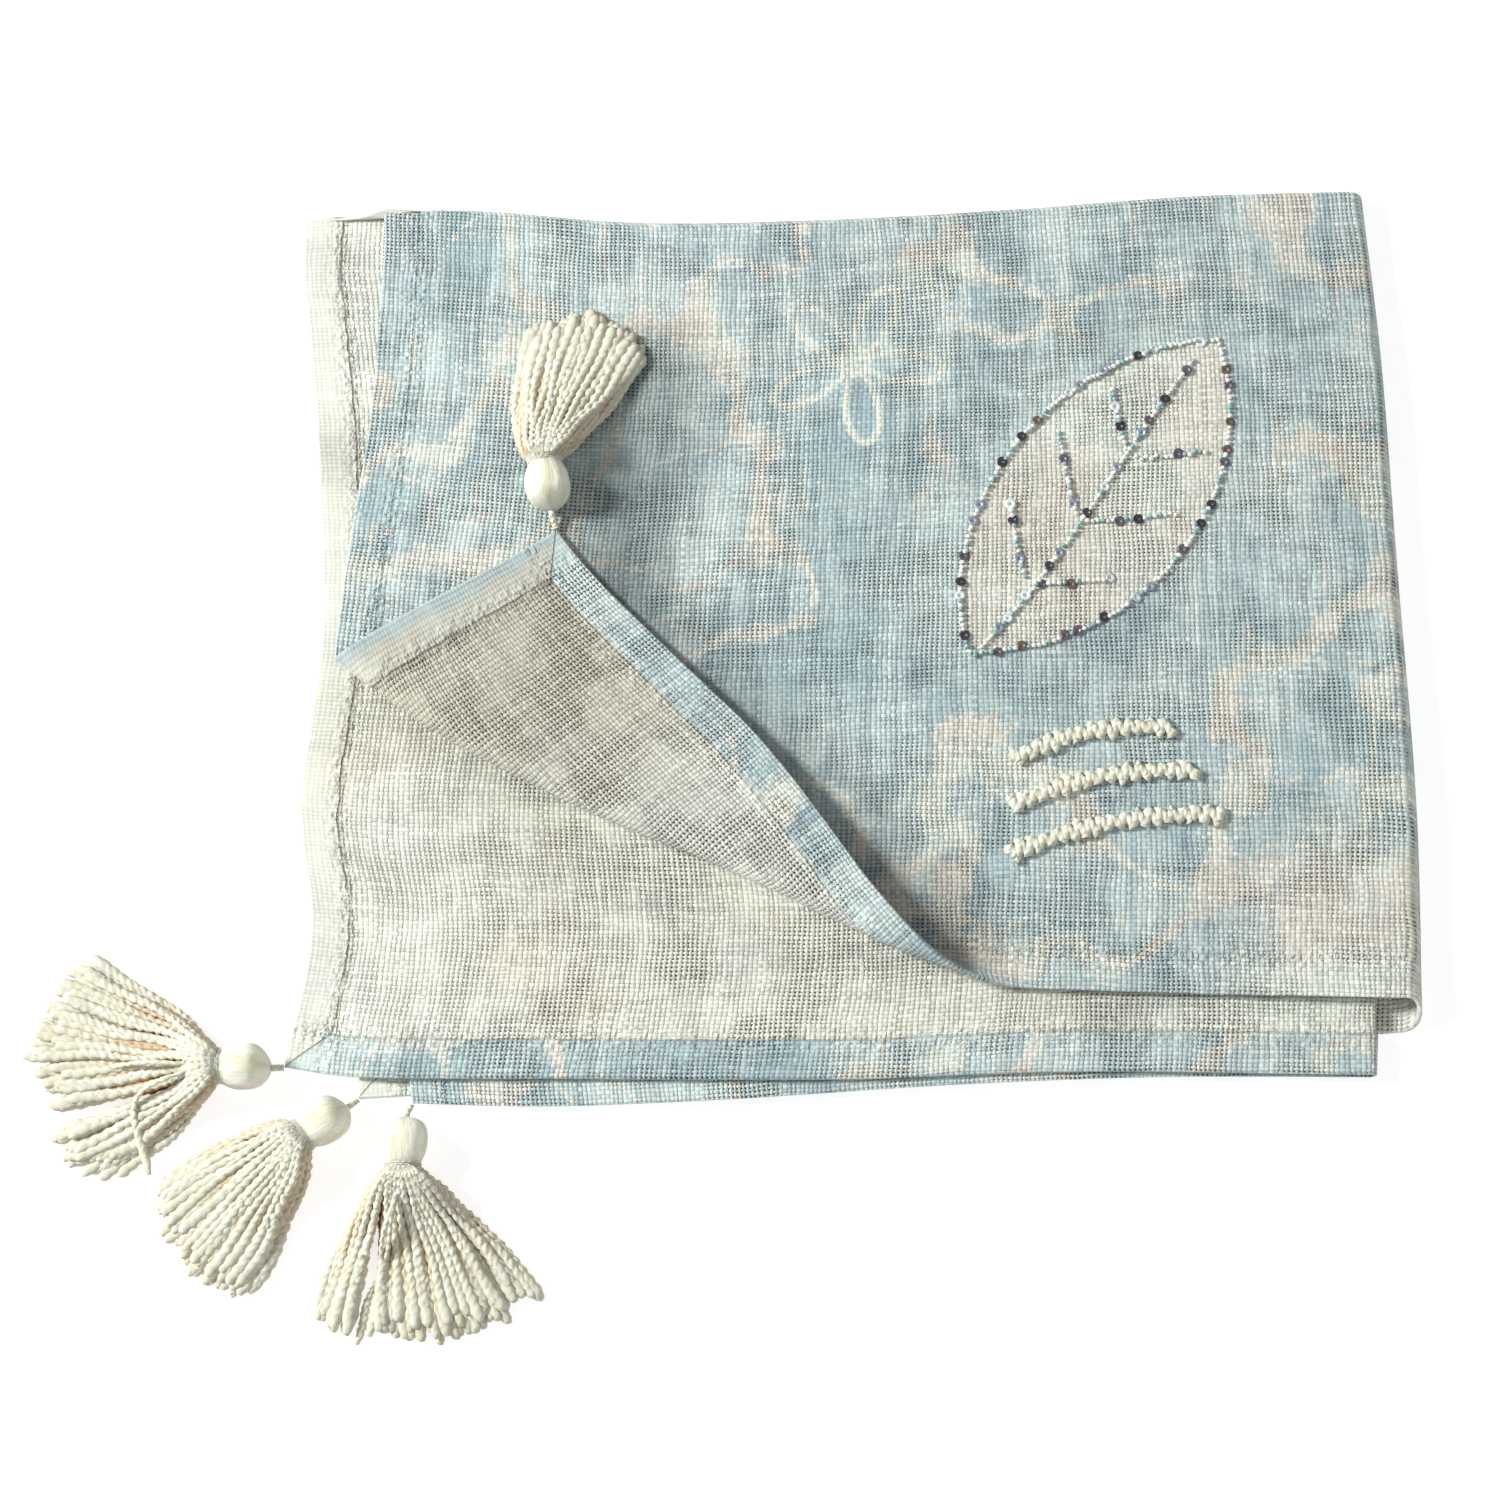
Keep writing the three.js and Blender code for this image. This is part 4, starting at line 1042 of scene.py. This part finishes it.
def make_head(tassel, material):
    """The wound head, drawn in at the neck and drooping towards its cord."""
    start, toward, across, height = tassel_axes(tassel)
    rng = np.random.default_rng(tassel["seed"])
    along = np.concatenate([[0, 0.6, 1.5], np.linspace(2.6, HEAD["along"][-1], 34)])
    radius = np.interp(along, HEAD["along"], HEAD["radius"])
    kernel = np.array([1, 2, 1]) / 4
    for _ in range(2):
        radius[1:-1] = np.convolve(radius, kernel, "valid")
    angles = ring_angles(40)
    creases = sum(depth * np.cos(count * angles[None] + rng.uniform(0, 6) + twist * along[:, None] / 20)
                  for depth, count, twist in HEAD["creases"])
    radii = radius[:, None] * (1 + creases)
    droop = HEAD["droop"] * np.maximum(1 - along / HEAD["droop_length"], 0) ** 2
    low = radii * np.sin(angles)[None] - droop[:, None]
    z = height + np.maximum(low, -HEAD["height"] + 0.05)
    side = radii * np.cos(angles)[None]
    x, y = [start[k] + toward[k] * along[:, None] + across[k] * side for k in (0, 1)]
    ring_points = np.stack([x, y, z], axis=-1).reshape(-1, 3)
    first = [*start, height - HEAD["droop"]]
    last = [*(start + toward * along[-1]), height]
    return make_object(f"tassel_head_{tassel['name']}", np.vstack([ring_points, first, last]),
                       flipped(capped_rings(len(along), len(angles))), [material],
                       uvs={"along": ring_uvs(along, len(angles))})


def flipped(faces):
    return [face[::-1] for face in faces]


YARN = {"radius": 2.4, "ring_step": 2.2, "sides": 8, "bump_pitch": 6.2, "level_height": 2.7}
NECK = {"radius": 9.8, "top": 0.86, "inside": 5.0}
SHOULDER = {"forward": 7.0, "spread": 29.0, "knee": 0.52, "knee_spread": 15.0}


def make_skirt(tassel, material):
    """The skirt's yarns, level upon level, each with its own bends."""
    start, toward, across, height = tassel_axes(tassel)
    rng = np.random.default_rng(tassel["seed"] + 100)
    parts = MeshParts()
    neck = start + toward * BINDING["to"]
    turns, reaches = tassel["skirt_turn"], tassel["skirt_reach"]
    sense = math.copysign(1, turns[-1] - turns[0])
    table = sorted(zip(turns, reaches))
    levels = len(tassel["yarns"])
    for level, count in enumerate(tassel["yarns"]):
        rise = level / (levels - 1)
        for k in range(count):
            inset = 0.005 + 0.02 * level
            share = mix(inset, 1 - inset, (k + 0.5) / count) + rng.normal(0, 0.012)
            turn = past_gap(tassel, mix(turns[0], turns[-1], share) + rng.normal(0, 1.2))
            reach = np.interp(turn, *zip(*table)) * rng.uniform(0.91, 1.03) * (1 - 0.015 * level)
            out, lateral = direction(turn), sense * (2 * share - 1)
            vertical = mix(-NECK["top"], NECK["top"], rise)
            wide = math.sqrt(max(1 - vertical ** 2, 0.25))
            root = neck - toward * NECK["inside"] + across * lateral * NECK["radius"] * wide
            spread = SHOULDER["spread"] * (1 - 0.25 * rise)
            shoulder = neck + toward * SHOULDER["forward"] + across * lateral * spread
            knee = neck + out * reach * SHOULDER["knee"] + across * lateral * SHOULDER["knee_spread"]
            path = bezier([root, shoulder, knee, neck + out * reach], int(reach * 1.05 / YARN["ring_step"]))
            dome = 1 - 0.3 * abs(lateral) ** 2
            rest = YARN["radius"] + level * YARN["level_height"] * dome
            early = height + vertical * NECK["radius"]
            # Painted shade for yarns covered by those above: more on the lower levels and towards the middle
            covered = (1 - rise) ** 0.3 * (1 - lateral ** 2)
            lay_yarn(parts, tassel, path, early, rest, rise, covered, reach, rng)
    for bend, tip, rest in tassel["strays"]:
        path = bezier([neck, *[neck + direction(turn) * reach for turn, reach in (bend, bend, tip)]],
                      int((bend[1] + tip[1]) / 2 / YARN["ring_step"]) + 12)
        lay_yarn(parts, tassel, path, height + 6, rest, 1.0, 0.0, tip[1], rng, 0.72)
    return parts.make(f"tassel_skirt_{tassel['name']}", [material])


def past_gap(tassel, turn):
    """Moves a yarn's direction out of the skirt's gap to its nearer side."""
    if tassel["gap"] is None or not tassel["gap"][0] < turn < tassel["gap"][1]:
        return turn
    low, high = tassel["gap"]
    return low - 0.4 * (turn - low) if turn - low < high - turn else high + 0.4 * (high - turn)


def lay_yarn(parts, tassel, path, early, rest, rise, covered, reach, rng, fullness=1.0):
    """Bends one yarn down from the neck to where it rests, gives it waves and adds it."""
    path = np.column_stack([path, np.zeros(len(path))])
    s = np.linspace(0, 1, len(path))
    base = ground(tassel, path[:, 0], path[:, 1])
    settled = base + rest * mix(1.0, 0.55, smooth((s - 0.45) / 0.5))
    bulge = (1.5 + 6.0 * rise) * np.sin(math.pi * np.clip(s / 0.55, 0, 1))
    path[:, 2] = mix(early + bulge, settled, smooth((s - 0.05) / 0.6))
    distance = s * reach
    strength = rng.uniform(0.6, 1.3) * smooth((s - 0.04) / 0.2)
    across = np.gradient(path[:, :2], axis=0)
    across = unit(np.column_stack([-across[:, 1], across[:, 0]]))
    crimp = 2 * math.pi * distance / (YARN["bump_pitch"] * rng.uniform(0.85, 1.2)) + rng.uniform(0, 6.3)
    sideways = 0.5 * np.sin(crimp) + 1.1 * np.sin(distance / rng.uniform(7, 12) + rng.uniform(0, 6.3))
    path[:, :2] += across * (sideways * strength)[:, None]
    path[:, 2] += 0.45 * strength * np.cos(crimp)
    radii, size = yarn_radii(distance, crimp, rng)
    radii, size = radii * fullness, size * fullness
    path[:, 2] = np.maximum(path[:, 2], base + size)
    parts.add(*tube(path, radii), painted_yarn_shade(s, covered, reach))


def painted_yarn_shade(s, covered, reach):
    """The painted shade of each point of a yarn, from how deep in the skirt it lies and its underside, and
    how loose the yarn is there.
    """
    up = np.sin(ring_angles(YARN["sides"]))
    window = (smooth(s / 0.12) * (1 - 0.85 * smooth((s - 0.55) / 0.35)))[:, None]
    # Painted shade on each yarn's underside
    underside = 1 - smooth((up[None] + 0.5) / 1.1)
    deep = np.clip(covered + 0.75 * underside, 0, 1) * window
    loose = np.repeat(smooth(1 - (1 - s) * reach / 30), YARN["sides"])
    return np.vstack([np.stack([deep.ravel(), loose], axis=1), [[0, 0], [0, 1]]])


def yarn_radii(distance, crimp, rng):
    """Two plies wound round each other, thin in the neck and with a soft, loosened tip."""
    angles = ring_angles(YARN["sides"])
    left = distance[-1] - distance
    firm = smooth(left / 55)
    plies = 0.84 + (0.24 * np.abs(np.cos(angles[None] - crimp[:, None] / 2)) - 0.04) * firm[:, None]
    wide, low = 1.9 - 0.9 * firm[:, None], 0.8 + 0.2 * firm[:, None]
    flattened = 1 / np.sqrt((np.cos(angles[None]) / wide) ** 2 + (np.sin(angles[None]) / low) ** 2)
    slub = 1 + 0.13 * firm * np.sin(crimp + 1.0)
    slub += 0.08 * np.sin(distance / rng.uniform(5, 9) + rng.uniform(0, 6.3))
    tip = 0.45 + 0.55 * np.sqrt(np.clip(left / rng.uniform(3, 9), 0, 1))
    loosened = 1 + 0.16 * smooth(1 - left / 62)
    gathered = 0.6 + 0.4 * smooth(distance / 18)
    size = YARN["radius"] * slub * tip * loosened * gathered
    return plies * flattened * size[:, None], size


def make_binding(tassel, material):
    """The turns of fine yarn round the neck."""
    start, toward, across, height = tassel_axes(tassel)
    t = np.linspace(0, 1, 24 * BINDING["turns"] + 1)
    angle = 2 * math.pi * BINDING["turns"] * t
    along = mix(BINDING["from"] + BINDING["yarn"] * 0.3, BINDING["to"] - BINDING["yarn"] * 0.3, t)
    centre = np.column_stack([start + np.outer(along, toward), np.full_like(along, height)])
    out = np.column_stack([np.outer(np.cos(angle), across), np.sin(angle)])
    path = centre + BINDING["radius"] * out
    third = np.cross(unit(np.gradient(path, axis=0)), out)
    points, faces, _ = tube(path, np.full((len(path), 8), BINDING["yarn"]), (out, third))
    return make_object(f"neck_wraps_{tassel['name']}", points, flipped(faces), [material],
                       uvs={"along": ring_uvs(angle * BINDING["radius"], 8)})


def make_cord(tassel, material):
    """The short twisted cord from the cloth's corner to the head."""
    start, toward, across, height = tassel_axes(tassel)
    side_u, side_v = tassel["corner"]
    v = -SHEET["outer_drop"] if side_v < 0 else SHEET["inner_drop"]
    corner = place(np.array([side_u * SHEET["half_length"]]), np.array([v]))[0]
    corner[2] = max(corner[2], CORD["radius"] + CORD["gap"])
    end = np.array([*(start - toward * CORD["gap"]), height - HEAD["droop"]])
    leaving = unit(np.array([end[0] - corner[0], end[1] - corner[1], 0.0]))
    foot = corner + leaving * CORD["cloth_gap"]
    reach = np.linalg.norm(end - foot) * CORD["ease"]
    path = bezier([foot, foot + leaving * reach, end - np.array([*toward, 0]) * reach, end], 26)
    twist = 2 * math.pi * distances_along(path)[:, None] / CORD["twist"]
    plies = 0.86 + 0.16 * np.abs(np.cos(ring_angles(12)[None] - twist))
    points, faces, uvs = tube(path, CORD["radius"] * plies)
    return make_object(f"corner_cord_{tassel['name']}", points, faces, [material], uvs={"along": uvs})


# The floor, the lights and the camera


def make_floor():
    size, level = 30000.0, -0.4
    corners = [(-size, -size, level), (size, -size, level), (size, size, level), (-size, size, level)]
    g = Graph("pale_floor")
    grey = g.blend(g.object_noise(1.2, 1.0), srgb(188, 188, 188), srgb(190, 190, 190))
    material = g.finish(grey, Roughness=0.9, Emission_Color=(1.0, 1.0, 1.0, 1.0), Emission_Strength=0.72)
    floor = make_object("floor", corners, [(0, 1, 2, 3)], [material])


def area_light(name, at, size, power, color):
    """A round light that faces the middle of the throw."""
    light = bpy.data.lights.new(name, "AREA")
    light.shape = "DISK"
    light.size = size
    light.energy = power
    light.color = color
    obj = add_object(name, light)
    obj.location = at
    obj.rotation_euler = (math.atan2(math.hypot(at[0], at[1]), at[2]), 0, math.atan2(at[0], -at[1]))


def make_lights():
    area_light("key_light", (-3.55, 0.75, 2.35), 0.95, 262.0, (1.0, 0.99, 0.97))
    area_light("fill_light", (2.34, -2.52, 3.42), 4.0, 28.0, (0.95, 0.98, 1.0))
    world = bpy.data.worlds.new("studio")
    world.use_nodes = True
    background = world.node_tree.nodes["Background"]
    background.inputs["Color"].default_value = (1.0, 1.0, 1.0, 1.0)
    background.inputs["Strength"].default_value = 0.4
    bpy.context.scene.world = world
    bpy.context.scene.view_settings.view_transform = "Standard"


def make_camera():
    elevation = math.radians(CAMERA["elevation"])
    target = np.array(CAMERA["target"])
    back = np.array([0.0, -math.cos(elevation), math.sin(elevation)])
    camera = bpy.data.cameras.new("camera")
    camera.lens = CAMERA["focal"]
    camera.sensor_width = CAMERA["sensor"]
    camera.clip_end = 100.0
    obj = add_object("camera", camera)
    obj.location = (target + back * CAMERA["distance"]) * MM
    obj.rotation_euler = (math.pi / 2 - elevation, 0.0, 0.0)
    bpy.context.scene.camera = obj


def ride_as(piece, slot, *nodes):
    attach(piece, "root")
    if nodes:
        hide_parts(*nodes)


def main():
    make_camera()
    make_floor()
    make_lights()
    cloth = make_cloth()
    ride_as(cloth, "slub_cotton", "throw_cloth")
    skirt_yarn = yarn_material("skirt_yarn", 0.0062, 2.0)
    wound_yarn = wound_material()
    cord_yarn = yarn_material("cord_yarn", 0.004, 2.0)
    beads, sequins = make_sewn_beads()
    ruffles = make_ruffles(yarn_material("ruffle_yarn", 0.005, 2.0, 1.12))
    trims = [beads, sequins, ruffles]
    for trim in trims:
        ride_as(trim, "cotton_yarn")
    for tassel in TASSELS:
        name = tassel["name"]
        skirt = make_skirt(tassel, skirt_yarn)
        head = make_head(tassel, wound_yarn)
        wraps = make_binding(tassel, cord_yarn)
        cord = make_cord(tassel, cord_yarn)
        ride_as(skirt, "cotton_yarn", f"tassel_{name}")
        ride_as(head, "cotton_yarn")
        ride_as(wraps, "cotton_yarn", f"neck_binding_{name}")
        ride_as(cord, "cotton_yarn", f"hanging_cord_{name}")
        trims += [skirt, head, wraps, cord]


main()
